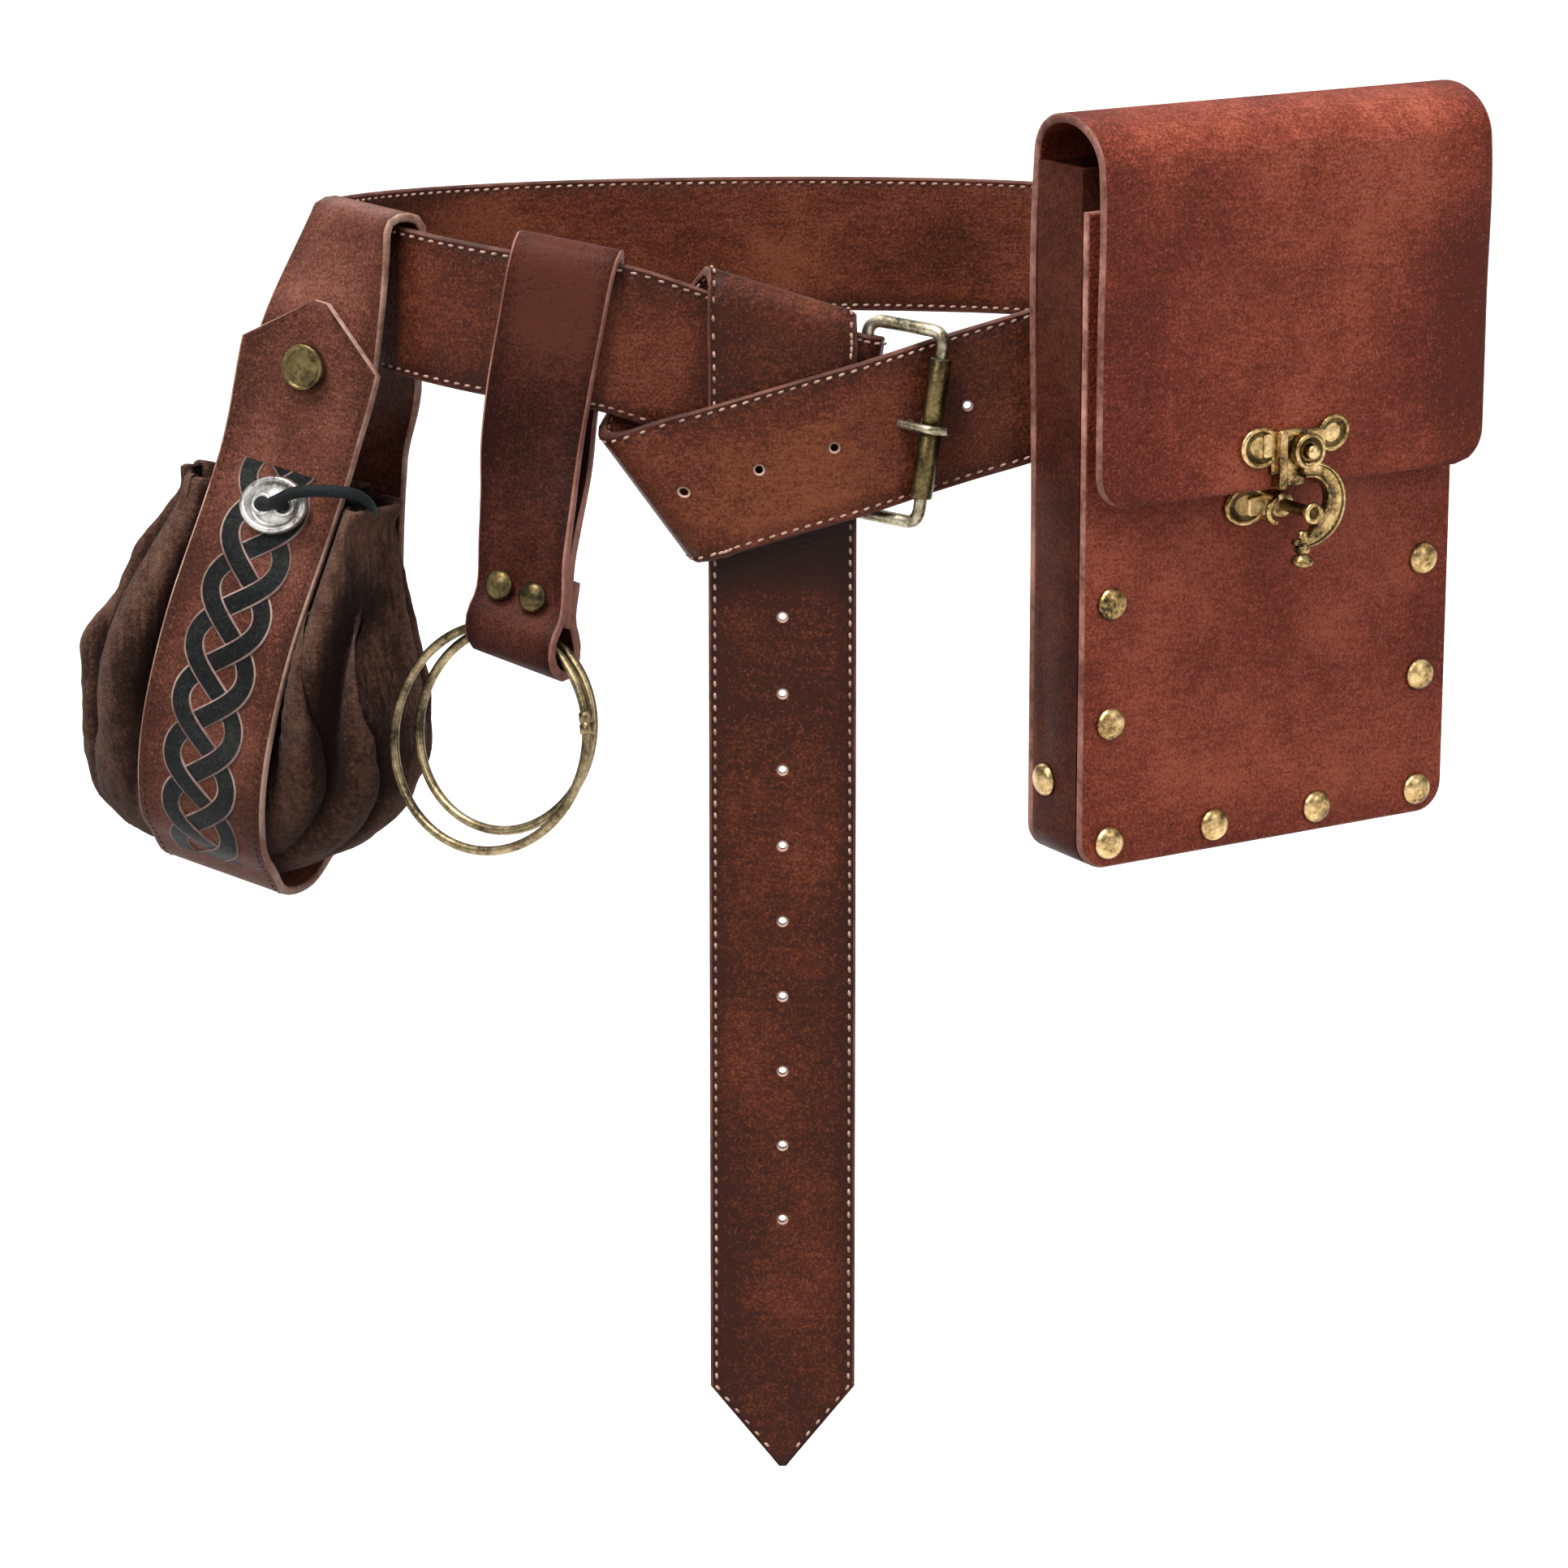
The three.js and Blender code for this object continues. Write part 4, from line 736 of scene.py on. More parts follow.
# belt
belt = {
    "width": 40, "thickness": 3, "tailShoulder": -306, "tailTip": -329, "tipWidth": 2,
    "holeRadius": 1.35, "holePitch": 21, "firstHole": 71, "holeCount": 22,
    "plain": (9, 11, 12),  # holes left out
    "drawn": {16: 5.5, 17: 5.5, 18: 5.5, 19: 5.5, 20: 2},  # holes drawn towards the buckle
    # painted light along the belt: a painted shadow under the band, the tail painted darker as shade, a
    # painted highlight on the band, and the back stretch made paler
    "paintedShading": [(930, 948, 20, 2.5), (960, 1210, 20, 0.45), (735, 815, 15, -0.6), (250, 480, 40, -0.4)],
    "seam": {"pitch": 3.3, "inset": 1.7, "wobble": 0.12, "length": 1.75, "radius": 0.44,
             "first": 6, "last": 4},
    "lines": [14, 9, 5], "grooveHalf": 0.55, "step": 4.0,
}
waist = {"left": 45, "right": 54, "reach": 87, "depth": 80, "fineness": 240}
beltHeights = [  # distance along the waist, height
    (0, -34.2), (40, -23.4), (66, -15), (84, -13.2), (110, -9.6), (148, -4.4), (196, -3.5), (262, -2),
    (372, 0), (450, -1.5), (508, -6), (557, -12), (609, -19),
]
knot = {
    "bandSlope": 0.295, "bandHeight": -47.6, "bandDepth": 8.4, "bandIn": 50, "bandOut": 16, "bandLead": 25,
    "foldX": -29, "foldSteps": 10, "heading": 56.2, "hiddenDepth": -5, "overTop": -7.9, "tailDepth": 3.8,
    "tailDrop": 12, "tailLevels": (-90, -150, -210, -260), "walkStep": 11, "foldLead": 10,
}
buckle = {
    "x": 39.4, "z": -38.6, "slope": -8, "length": 20, "halfHeight": 25.9, "wire": 1.8, "barDepth": -3.4,
    "rollerDepth": 8.4, "rollerRadius": 3, "rollerHalf": 19, "corner": 4, "tongueRadius": 1.3,
    "returnLeg": 3.5, "gap": 0.3,
}


def front(x, z, depth):
    return Vector((x, -waist["depth"] - depth, z))


def buckleAxes():
    tilt = math.radians(buckle["slope"])
    return Vector((math.cos(tilt), 0, math.sin(tilt))), Vector((-math.sin(tilt), 0, math.cos(tilt)))


def buckleAt(back, up, depth):
    along, rise = buckleAxes()
    return front(buckle["x"], buckle["z"], depth) - along * back + rise * up


def waistLine():
    # the worn loop as close points with their distance along it
    reach, depth, fine = waist["reach"], waist["depth"], waist["fineness"]
    line = [(buckleAt(buckle["length"], 0, buckle["barDepth"]).x, -depth)]
    for middle, start in ((-waist["left"], -math.pi / 2), (waist["right"], math.pi / 2)):
        for k in range(fine + 1):
            a = start - math.pi * k / fine
            line.append((middle + reach * math.cos(a), depth * math.sin(a)))
    bandFrom = len(line) - 1
    line.append((knot["foldX"], -depth))
    runs = runsOf([math.hypot(b[0] - a[0], b[1] - a[1]) for a, b in zip(line, line[1:])])
    return line, runs, runs[bandFrom] - knot["bandLead"]


walkLine, walkRuns, bandStart = waistLine()
walkLength = walkRuns[-1]


def bandLine(x):
    return knot["bandHeight"] + knot["bandSlope"] * x


def planAt(along):
    low, t = spanAt(walkRuns, min(max(along, 0), walkLength))
    a, b = walkLine[low], walkLine[low + 1]
    return a[0] + (b[0] - a[0]) * t, a[1] + (b[1] - a[1]) * t


walkHeights = beltHeights + [(s, bandLine(planAt(s)[0])) for s in (bandStart, bandStart + 20, walkLength)]


def beltPoint(along):
    x, y = planAt(along)
    if along > bandStart:
        rising = knot["bandDepth"] * (1 - smoothstep(x, knot["bandOut"], knot["bandIn"]))
        return Vector((x, y - rising, bandLine(x)))
    return Vector((x, y, eased(walkHeights, along, 1)))


def beltFrame(along):
    step = (beltPoint(along + 0.5) - beltPoint(along - 0.5)).normalized()
    out = Vector((-step.y, step.x, 0)).normalized()
    return beltPoint(along), step, out, step.cross(out).normalized()


def flat(angle):
    return Vector((math.cos(math.radians(angle)), 0, math.sin(math.radians(angle))))


def foldOver(start, heading, line, depths):
    # stations of a strap folded over a slanted line, from one depth to another
    radius = abs(depths[0] - depths[1]) / 2
    middle = sum(depths) / 2
    side = math.copysign(1, depths[0] - depths[1])
    way, axis = flat(heading), flat(line)
    slide = way.dot(axis)
    outwards = (way - axis * slide).normalized()
    sine = math.sqrt(1 - slide * slide)
    stations = []
    for i in range(knot["foldSteps"] + 1):
        turn = math.pi * i / knot["foldSteps"]
        at = front(start.x, start.z, middle + side * radius * math.cos(turn))
        at += axis * (slide * radius * turn / sine) + outwards * (radius * math.sin(turn))
        stations.append([at, axis.copy(), belt["width"] / 2 / sine])
    return stations


def buckleEnd():
    # the belt's end, turned back round the buckle's bar
    half, barDepth, length = belt["width"] / 2, buckle["barDepth"], buckle["length"]
    _, rise = buckleAxes()
    radius = buckle["wire"] + buckle["gap"] + belt["thickness"] / 2
    lift = (beltPoint(0) - buckleAt(length, 0, barDepth)).dot(rise)
    stations = [[buckleAt(length + buckle["returnLeg"], lift, barDepth - radius), rise, half]]
    for a in [-math.pi / 2 + math.pi * i / 8 for i in range(8)]:
        at = buckleAt(length - radius * math.cos(a), lift, barDepth + radius * math.sin(a))
        stations.append([at, rise, half])
    return stations


def beltStations():
    half = belt["width"] / 2
    stations = buckleEnd()
    stop = walkLength - knot["foldLead"]
    count = math.ceil(stop / knot["walkStep"])
    for i in range(count + 1):
        at, _, _, across = beltFrame(max(stop * i / count, belt["thickness"]))
        stations.append([at, across, half])
    bandHeading = 180 + math.degrees(math.atan(knot["bandSlope"]))
    lower = foldOver(Vector((knot["foldX"], 0, bandLine(knot["foldX"]))), bandHeading,
                     (bandHeading + knot["heading"]) / 2, (knot["bandDepth"], knot["hiddenDepth"]))
    upperLine = (knot["heading"] - 90) / 2
    leave = lower[-1][0]
    climb, axis = flat(knot["heading"]), flat(upperLine)
    normal = Vector((-axis.z, 0, axis.x))
    distance = Vector((-leave.x, 0, knot["overTop"] - leave.z)).dot(normal) / climb.dot(normal)
    upper = foldOver(leave + climb * distance, knot["heading"], upperLine,
                     (knot["hiddenDepth"], knot["tailDepth"]))
    hang = upper[-1][0]
    tail = []
    for z in (hang.z - knot["tailDrop"], *knot["tailLevels"], belt["tailShoulder"], belt["tailTip"]):
        wide = belt["tipWidth"] if z == belt["tailTip"] else belt["width"]
        tail.append([Vector((hang.x, hang.y, z)), Vector((1, 0, 0)), wide / 2])
    stations += lower + upper + tail
    for i in range(1, len(stations)):  # keep the same side of the strap facing the same way
        step = stations[i][0] - stations[i - 1][0]
        back = stations[i - 1][0] - stations[i - 2][0] if i > 1 else step
        if stations[i - 1][1].cross(back).dot(stations[i][1].cross(step)) < 0:
            stations[i][1] = -stations[i][1]
    return stations


beltStrap = Strap(beltStations(), belt["thickness"], belt["width"])


def makeBelt():
    length = beltStrap.length
    punched = [k for k in range(belt["holeCount"]) if k not in belt["plain"]]
    holes = [length - belt["firstHole"] - belt["holePitch"] * k - belt["drawn"].get(k, 0) for k in punched]
    seam = belt["seam"]
    half, groove, inset = belt["width"] / 2, belt["grooveHalf"], seam["inset"]
    cell = belt["holeRadius"] * strapCut["holeCell"]
    side = [half - strapCut["lip"], half - inset + groove, half - inset, half - inset - groove]
    side += belt["lines"]
    makeStrap("beltLook", beltStrap, mirrored(side, [cell * k for k in (-2, -1, 0, 1, 2)]),
              ["beltLeather", "beltEdge", "holeEdge"], ("belt",), belt["step"], holes, belt["holeRadius"],
              inset, belt["paintedShading"])
    makeSeam("beltStitches", beltStrap, seam["first"], length - seam["last"], seam, "thread",
             (1, -1))


makeBelt()
print("belt done")


# buckle
def makeBuckleFrame():
    length, high, corner = buckle["length"], buckle["halfHeight"], buckle["corner"]
    corners = [buckleAt(length, -high, buckle["barDepth"]), buckleAt(0, -high, buckle["rollerDepth"]),
               buckleAt(0, high, buckle["rollerDepth"]), buckleAt(length, high, buckle["barDepth"])]
    path = []
    for i, at in enumerate(corners):
        before, after = corners[i - 1], corners[(i + 1) % 4]
        start, stop = at + (before - at).normalized() * corner, at + (after - at).normalized() * corner
        for t in [k / 8 for k in range(9)]:
            path.append(start * (1 - t) ** 2 + at * 2 * t * (1 - t) + stop * t * t)
        far = after + (at - after).normalized() * corner
        path += [stop.lerp(far, k / 5) for k in range(1, 5)]
    makeTube("buckleFrameLook", path, buckle["wire"], 16, "buckleMetal", closed=True,
             replaced=("buckle_frame",))


def makeBuckleRoller():
    _, rise = buckleAxes()
    inner, wide, reach = buckle["wire"] + buckle["gap"], buckle["rollerRadius"], buckle["rollerHalf"]
    upper = [(wide - 0.25, 0.9), (wide, 1.2), (wide, reach - 0.5), (wide - 0.4, reach), (inner, reach)]
    profile = [(r, -h) for r, h in reversed(upper)] + upper
    points, faces = turned(profile, 32, buckleAt(0, 0, buckle["rollerDepth"]), rise, bored=True)
    addPiece("buckleRollerLook", points, faces, ["oldBronze"], replaced=("buckle_roller",))


def makeBuckleTongue():
    length, wire = buckle["length"], buckle["tongueRadius"]
    along, rise = buckleAxes()
    over = buckle["rollerDepth"] + buckle["rollerRadius"] + wire
    way = [(length - 2.6, buckle["barDepth"] + 2.6), (length - 7.5, 1.6), (8, 6.4), (4, 10.6),
           (0.6, over + 0.3), (-4.4, over - 0.4)]  # along, depth
    path = curveThrough([buckleAt(x, 0, depth) for x, depth in way], 40)
    bar = buckleAt(length, 0, buckle["barDepth"])
    outward = Vector((0, 1, 0))

    def eyelet(start):
        rings, sides = 28, 10
        reach = buckle["wire"] + buckle["gap"] + wire
        points = []
        for a in around(rings):
            ray = along * math.cos(a) + outward * math.sin(a)
            for b in around(sides):
                points.append(bar + ray * (reach + wire * math.cos(b)) + rise * wire * math.sin(b))
        return points, ringFaces(rings, sides, start, True)

    def taper(t):
        return 1 - 0.25 * max(0, t - 0.85) / 0.15

    makeTube("buckleTongueLook", path, wire, 14, "buckleMetal",
             replaced=("buckle_tongue",), add=eyelet, taper=taper)


makeBuckleFrame()
makeBuckleRoller()
makeBuckleTongue()
print("buckle done")


# hanger and rings
hanger = {
    "width": 29, "thickness": 3, "frontOffset": 3.8, "backOffset": -6, "clampOffset": 3.4, "foldTop": 4.9,
    "loopHeight": -94.6, "loopRadius": 6.6, "bulgeRise": 3.6, "bulge": 5.4, "clampRise": 6.6,
    "endHeight": -88.4, "returnTop": -76, "rivets": [(-5.6, -83), (5.6, -83)], "rivetRadius": 4.2, "gap": 0.3,
    "lines": [9, 4.5], "step": 3.0, "worn": (8, 45, -1.3),  # half length, fade and amount of the painted highlight over the crest
}
hangerLine = [  # height, x, y, yaw, tilt
    (-107, -71.4, -92, 32, -13), (-90, -70, -89, 32, -13), (-68, -68.2, -85, 31, -13),
    (-38, -66.4, -78.4, 15, -11), (3, -59, -79, 10, -10), (12, -57, -79.2, 8, -11),
]


def hangerFrame(z):
    x, y, yaw, tilt = (eased(hangerLine, z, column) for column in (1, 2, 3, 4))
    yaw, tilt = math.radians(yaw), math.radians(tilt)
    across = Vector((math.cos(yaw) * math.cos(tilt), -math.sin(yaw) * math.cos(tilt), math.sin(tilt)))
    dx, dy = (eased(hangerLine, z - 1, column) - eased(hangerLine, z + 1, column) for column in (1, 2))
    return Vector((x, y, z)), across, Vector((dx, dy, -2)).cross(across).normalized()


def hangerAt(z, offset):
    at, _, out = hangerFrame(z)
    return at + out * offset


def hangerRoute():
    # height and offset along the strap, over the belt, down, round the rings and back up
    ahead, behind, clamp = hanger["frontOffset"], hanger["backOffset"], hanger["clampOffset"]
    middle, radius = (ahead + behind) / 2, (ahead - behind) / 2
    low, loop, bulge = hanger["loopHeight"], hanger["loopRadius"], hanger["bulge"]
    over = [(hanger["foldTop"] + radius * math.sin(a), middle - radius * math.cos(a))
            for a in [math.pi * i / 8 for i in range(9)]]
    under = [(low - loop * math.sin(a), loop * math.cos(a)) for a in [math.pi * i / 10 for i in range(11)]]
    clampEnd, part = low + hanger["clampRise"], low + hanger["bulgeRise"]
    return ([(hanger["endHeight"], 0), (-70, 0), (-60, -2), (-48, behind), (-30, behind), (-12, behind)]
            + over + [(-12, ahead), (-30, ahead), (-48, ahead), (-60, clamp), (-70, clamp), (clampEnd, clamp)]
            + [(part, bulge)] + under + [(part, -bulge), (clampEnd, -clamp), (hanger["returnTop"], -clamp)])


def makeHanger():
    half = hanger["width"] / 2
    stations = [[hangerAt(z, offset), hangerFrame(z)[1], half] for z, offset in hangerRoute()]
    strap = Strap(stations, hanger["thickness"], hanger["width"])
    # a painted highlight: the crest painted paler where the strap curves over the belt
    reach, fade, amount = hanger["worn"]
    lines = mirrored([half - strapCut["lip"], half - 2] + hanger["lines"])
    makeStrap("hangerLook", strap, lines, ["hangerLeather", "hangerEdge"], ("hanger",),
              hanger["step"], paintedShading=[(strap.crest() - reach, strap.crest() + reach, fade, amount)])
    face = hanger["clampOffset"] + hanger["thickness"] / 2 + 2 * hanger["gap"]
    seats = []
    for across, z in hanger["rivets"]:
        _, side, out = hangerFrame(z)
        seats.append((hangerAt(z, face) + side * across, out))
    makeRivets("hangerRivets", seats, hanger["rivetRadius"], 2 * face, "oldBronze",
               ("hanger_rivet_1", "hanger_rivet_2"))


rings = {
    "wire": 1.3, "large": 32, "small": 29, "spread": 3.3, "slide": 2, "rest": 1.7, "steps": 96,
    "knuckleLength": 6, "knuckleRadius": 1.9, "knuckleTurn": 25,
}


def makeRing(name, node, outer, offset, slide, knuckled):
    at, across, out = hangerFrame(hanger["loopHeight"])
    down = across.cross(out).normalized()
    if down.z > 0:
        down = -down
    radius = outer - rings["wire"]
    chord = math.sqrt(radius ** 2 - (hanger["width"] / 2) ** 2)
    centre = at + out * offset + across * slide + down * (chord + rings["rest"])

    def ray(a):
        return across * math.cos(a) - down * math.sin(a)

    def knuckle(start):
        a = math.radians(rings["knuckleTurn"])
        tangent = across * -math.sin(a) - down * math.cos(a)
        reach, wide = rings["knuckleLength"] / 2, rings["knuckleRadius"]
        upper = [(wide - 0.3, 0.15), (wide, 0.4), (wide, reach - 0.4), (wide - 0.3, reach), (0.4, reach)]
        profile = [(r, -h) for r, h in reversed(upper)] + upper
        return turned(profile, 20, centre + ray(a) * radius, tangent, start)

    path = [centre + ray(a) * radius for a in around(rings["steps"])]
    makeTube(name, path, rings["wire"], 14, "ringBrass", closed=True, body="rings",
             replaced=(node,), add=knuckle if knuckled else None)


makeHanger()
makeRing("ringLargeLook", "ring_large", rings["large"], rings["spread"] / 2, 0, True)
makeRing("ringSmallLook", "ring_small", rings["small"], -rings["spread"] / 2, rings["slide"], False)
print("hanger and rings done")


# bag
bag = {
    "place": (131.9, -75, -153.1), "yaw": 31, "lean": 4.5, "roll": -3,
    "width": 122, "height": 189, "depth": 26, "corner": 8, "leather": 2.5, "gusset": 2.2, "frontTop": 178,
    "arch": 14, "overhang": 2.5, "flapOut": 10.5, "flapBottom": 101, "flapCorner": 9,
    "rivetRadius": 4.5, "rivetInset": 9, "rivetBase": 7, "rivetStep": 33, "rivetRows": 5,
    "sideRivet": (17, 22), "gap": 0.3, "flangeSheet": 2,
    "flapLines": [54, 42, 28, 14], "flapStep": 1.2, "gussetEase": 0.45, "loopEase": 0.4,
}
bagTurn = turnsOf(bag["lean"], bag["roll"], bag["yaw"])


def bagWay(x, y, z):
    return bagTurn @ Vector((x, y, z))


def inBag(x, y, z):
    return bagWay(x, y, z) + Vector(bag["place"])


def makeFrontPanel():
    side, top, corner, sheet = bag["width"] / 2, bag["frontTop"], bag["corner"], bag["leather"]
    outline = [(-side, top)] + cornerArc(corner - side, corner, corner, 180, 8)
    outline += cornerArc(side - corner, corner, corner, 270, 8) + [(side, top)]
    levels = [(0.985, 0.0), (0.993, 0.0), (0.998, 0.25), (1.0, 0.8), (1.0, sheet - 0.8),
              (0.998, sheet - 0.25), (0.99, sheet)]  # share of the outline, depth
    points = []
    for share, depth in levels:
        points += [inBag(x * share, depth, top / 2 + (z - top / 2) * share) for x, z in outline]
    count = len(outline)
    slots = [0] * count + [1] * count * (len(levels) - 2) + [0, 0]
    addPiece("bagFrontLook", points, ringFaces(len(levels), count), ["bagLeather", "bagEdge"],
             slots, replaced=("bag_front",))


def roundEnd(width, corner):  # inset from the end and width, from the end inwards
    turns = [math.pi / 2 * i / 6 for i in range(7)]
    return [(corner * (1 - math.sin(a)), width - 2 * corner * (1 - math.cos(a))) for a in turns][::-1]


def flapStations(full):
    # up the back panel, over the top and down the flap
    width, height, bottom = bag["width"], bag["height"], bag["flapBottom"]
    back = bag["depth"] - bag["leather"] / 2
    face = -bag["flapOut"] + bag["leather"] / 2
    middle, reach = (back + face) / 2, (back - face) / 2
    rise = bag["arch"] - bag["leather"] / 2
    rows = [(back, inset, wide) for inset, wide in roundEnd(width, bag["corner"])]
    rows.append((back, height / 2, width))
    for i in range(21):
        a = math.pi * i / 20
        wide = width + smoothstep(i, 0, 10) * (full - width)
        rows.append((middle + reach * math.cos(a), height + rise * math.sin(a), wide))
    rows.append((face, (height + bottom) / 2, full))
    rows += [(face, bottom + inset, wide) for inset, wide in roundEnd(full, bag["flapCorner"])[::-1]]
    return [[inBag(0, y, z), bagWay(1, 0, 0), wide / 2] for y, z, wide in rows]


def makeFlap():
    full = bag["width"] + 2 * bag["overhang"]
    strap = Strap(flapStations(full), bag["leather"], full)
    lines = mirrored([full / 2 - strapCut["lip"], full / 2 - 2.5] + bag["flapLines"])
    makeStrap("bagFlapLook", strap, lines, ["bagLeather", "bagEdge"], ("bag_back_flap",),
              bag["flapStep"])


def numbered(node, count):
    return [f"{node}_{i + 1}" for i in range(count)]


def makeBagRivets():
    radius, gap, base = bag["rivetRadius"], bag["gap"], bag["rivetBase"]
    side = bag["width"] / 2 - bag["rivetInset"]
    spots = [(s * side, base + bag["rivetStep"] * row) for row in range(bag["rivetRows"]) for s in (-1, 1)]
    spots += [(s * side / 3, base) for s in (-1, 1)]
    seats = [(inBag(x, -gap, z), bagWay(0, -1, 0)) for x, z in spots]
    grip = bag["leather"] + bag["flangeSheet"] + 3 * gap
    makeRivets("bagRivets", seats, radius, grip, "oldGold", numbered("bag_rivet", len(seats)))
    y, z = bag["sideRivet"]
    seats = [(inBag(s * (bag["width"] / 2 + gap), y, z), bagWay(s, 0, 0)) for s in (-1, 1)]
    makeRivets("bagSideRivets", seats, radius, bag["gusset"] + 2 * gap, "oldGold",
               numbered("bag_side_rivet", len(seats)))


beltLoop = {"x": -20, "width": 40, "bottom": 82, "top": 174, "tab": 15, "thickness": 2.5, "rivet": 0.8}


def makeLoopRivets():
    gap, sheet = bag["gap"], beltLoop["thickness"]
    heights = (beltLoop["bottom"] + beltLoop["tab"] / 2, beltLoop["top"] - beltLoop["tab"] / 2)
    across = [beltLoop["x"] + s * beltLoop["width"] / 4 for s in (-1, 1)]
    seats = [(inBag(x, bag["depth"] + 2 * gap + sheet, z), bagWay(0, 1, 0)) for z in heights for x in across]
    grip = sheet + bag["leather"] + 3 * gap
    makeRivets("bagLoopRivets", seats, bag["rivetRadius"] * beltLoop["rivet"], grip, "oldGold",
               numbered("bag_loop_rivet", len(seats)))


makeFrontPanel()
makeFlap()
makeBagRivets()
makeLoopRivets()
dressCopy("bagGussetLook", "bag_gusset", bag["gussetEase"], "gussetLeather")
dressCopy("bagLoopLook", "bag_belt_loop", bag["loopEase"], "bagLeather")
print("bag done")


# clasp
clasp = {
    "x": 1.2, "z": 111, "drop": 16.5, "base": 1.5, "hookLow": 1.8, "hookHigh": 4.8, "pin": 1.7, "foot": -3.4,
    "plateBars": [(-13, 7.5, -1.2, 5.4), (-10.4, 0.4, -6, 5.8), (-6.6, 0.4, -9.6, -4.6)],  # x0, x1, z0, z1
    "plateRibs": [(-9.4, -7, -9.8, 6.4, 3.9, 0.8), (-9.4, -2, 4.4, 6.2, 2.8, 0.7)],  # and height, corner
    "plateLeaves": [(-13.8, 1.8, 6.4, 5.6, -6), (10, 3.5, 5.4, 4.8, 35)],  # x, z, half sizes, turn
    "catchBar": (-10, 2, -2.7, 2.7),
    "catchLeaf": (-10.5, 0.4, 7, 5.4, 4),
    "leafLevels": [(0.98, 0), (1.02, 0.6), (1.0, 1.15), (0.94, 1.48), (0.86, 1.55), (0.79, 1.2), (0.72, 0.7),
                   (0.5, 0.55), (0.25, 0.75), (0.02, 0.85)],  # share of the outline, height
    "claw": [(-5.5, 1, 3.2), (-5.5, 7, 3.2), (-6.8, 8.6, 2.9), (-8.6, 8.8, 1.4), (-9, 8.8, -0.4),
             (-8.4, 8.8, -2), (-6.8, 8.6, -3.1), (-5.5, 7, -3.4), (-5.5, 1, -3.4)],
    "clawRadius": 0.85, "post": 6.7,
    "rim": (0.5, -14.5, 11.6), "hollow": (-0.3, -13.7, 6.6), "sweep": 212, "sweepSteps": 44,
    "knob": (-1.2, 3.3, -23.5),
    "knobProfile": [(0.8, -2), (1.5, -1.6), (1.5, 1.2), (1.2, 1.7), (1.9, 2.3), (2.2, 3.2), (1.9, 4.1),
                    (1.2, 4.7), (2.4, 5.2), (3.2, 6.2), (3.1, 7.2), (2.2, 7.9), (0, 8.2)],
}


class Casting:
    # small cast shapes gathered into one piece, over a base point of the bag's front
    def __init__(self, x, depth, z):
        self.base = Vector((x, depth, z))
        self.points, self.faces, self.slots = [], [], []

    def at(self, x, height, z):
        return inBag(self.base.x + x, self.base.y - height, self.base.z + z)

    def keep(self, points, faces, count=0, deep=()):  # deep: rows of faces in the dark finish
        self.points += points
        self.faces += faces
        dark = {r * count + k for r in deep for k in range(count)}
        self.slots += [1 if i in dark else 0 for i in range(len(faces))]

    def stack(self, outline, levels, deep=()):  # an outline drawn in and raised, level by level
        count = len(outline)
        middleX = sum(x for x, _ in outline) / count
        middleZ = sum(z for _, z in outline) / count
        points = []
        for share, height in levels:
            for x, z in outline:
                u, v = middleX + (x - middleX) * share, middleZ + (z - middleZ) * share
                points.append(self.at(u, height, v))
        self.keep(points, ringFaces(len(levels), count, len(self.points)), count, deep)

    def leaf(self, x, z, wide, high, turn):  # a dished oval tab with a raised rim
        cosine, sine = math.cos(math.radians(turn)), math.sin(math.radians(turn))
        outline = []
        for a in around(32):
            u, v = wide * math.cos(a), high * math.sin(a)
            outline.append((x + u * cosine - v * sine, z + u * sine + v * cosine))
        self.stack(outline, clasp["leafLevels"], (5, 6))

    def bar(self, x0, x1, z0, z1, high, corner=0.8):  # a flat bar with rounded corners and eased edges
        outline = []
        for i, (x, z) in enumerate(((x1 - corner, z1 - corner), (x0 + corner, z1 - corner),
                                    (x0 + corner, z0 + corner), (x1 - corner, z0 + corner))):
            outline += cornerArc(x, z, corner, 90 * i, 4)
        self.stack(outline, [(1, 0), (1, high - 0.5), (0.96, high - 0.15), (0.86, high)])

    def turn(self, x, height, z, profile, axis=(0, -1, 0), bored=False, deep=()):
        sides = 28
        points, faces = turned(profile, sides, self.at(x, height, z), bagWay(*axis), len(self.points), bored)
        self.keep(points, faces, sides, deep)

    def wire(self, path, radius):
        self.keep(*tubeOf(curveThrough([self.at(*p) for p in path], 48), radius, 12, len(self.points)))

    def make(self, name, node, body="root"):
        addPiece(name, self.points, self.faces, ["oldGold", "goldRecess"], self.slots, body,
                 (node,))


def makeClaspPlate():
    plate = Casting(clasp["x"], -bag["flapOut"] - bag["gap"], clasp["z"])
    for bar in clasp["plateBars"]:
        plate.bar(*bar, clasp["base"])
    for leaf in clasp["plateLeaves"]:
        plate.leaf(*leaf)
    for rib in clasp["plateRibs"]:
        plate.bar(*rib)
    pin, foot = clasp["pin"], clasp["foot"]
    plate.turn(0, 0, 0, [(0, 7.1), (1, 6.95), (1.8, 6.4), (2.1, 5.7), (1.9, 5.2), (pin, 5.1), (pin, foot),
                         (0, foot)])
    plate.make("claspPlateLook", "clasp_plate")


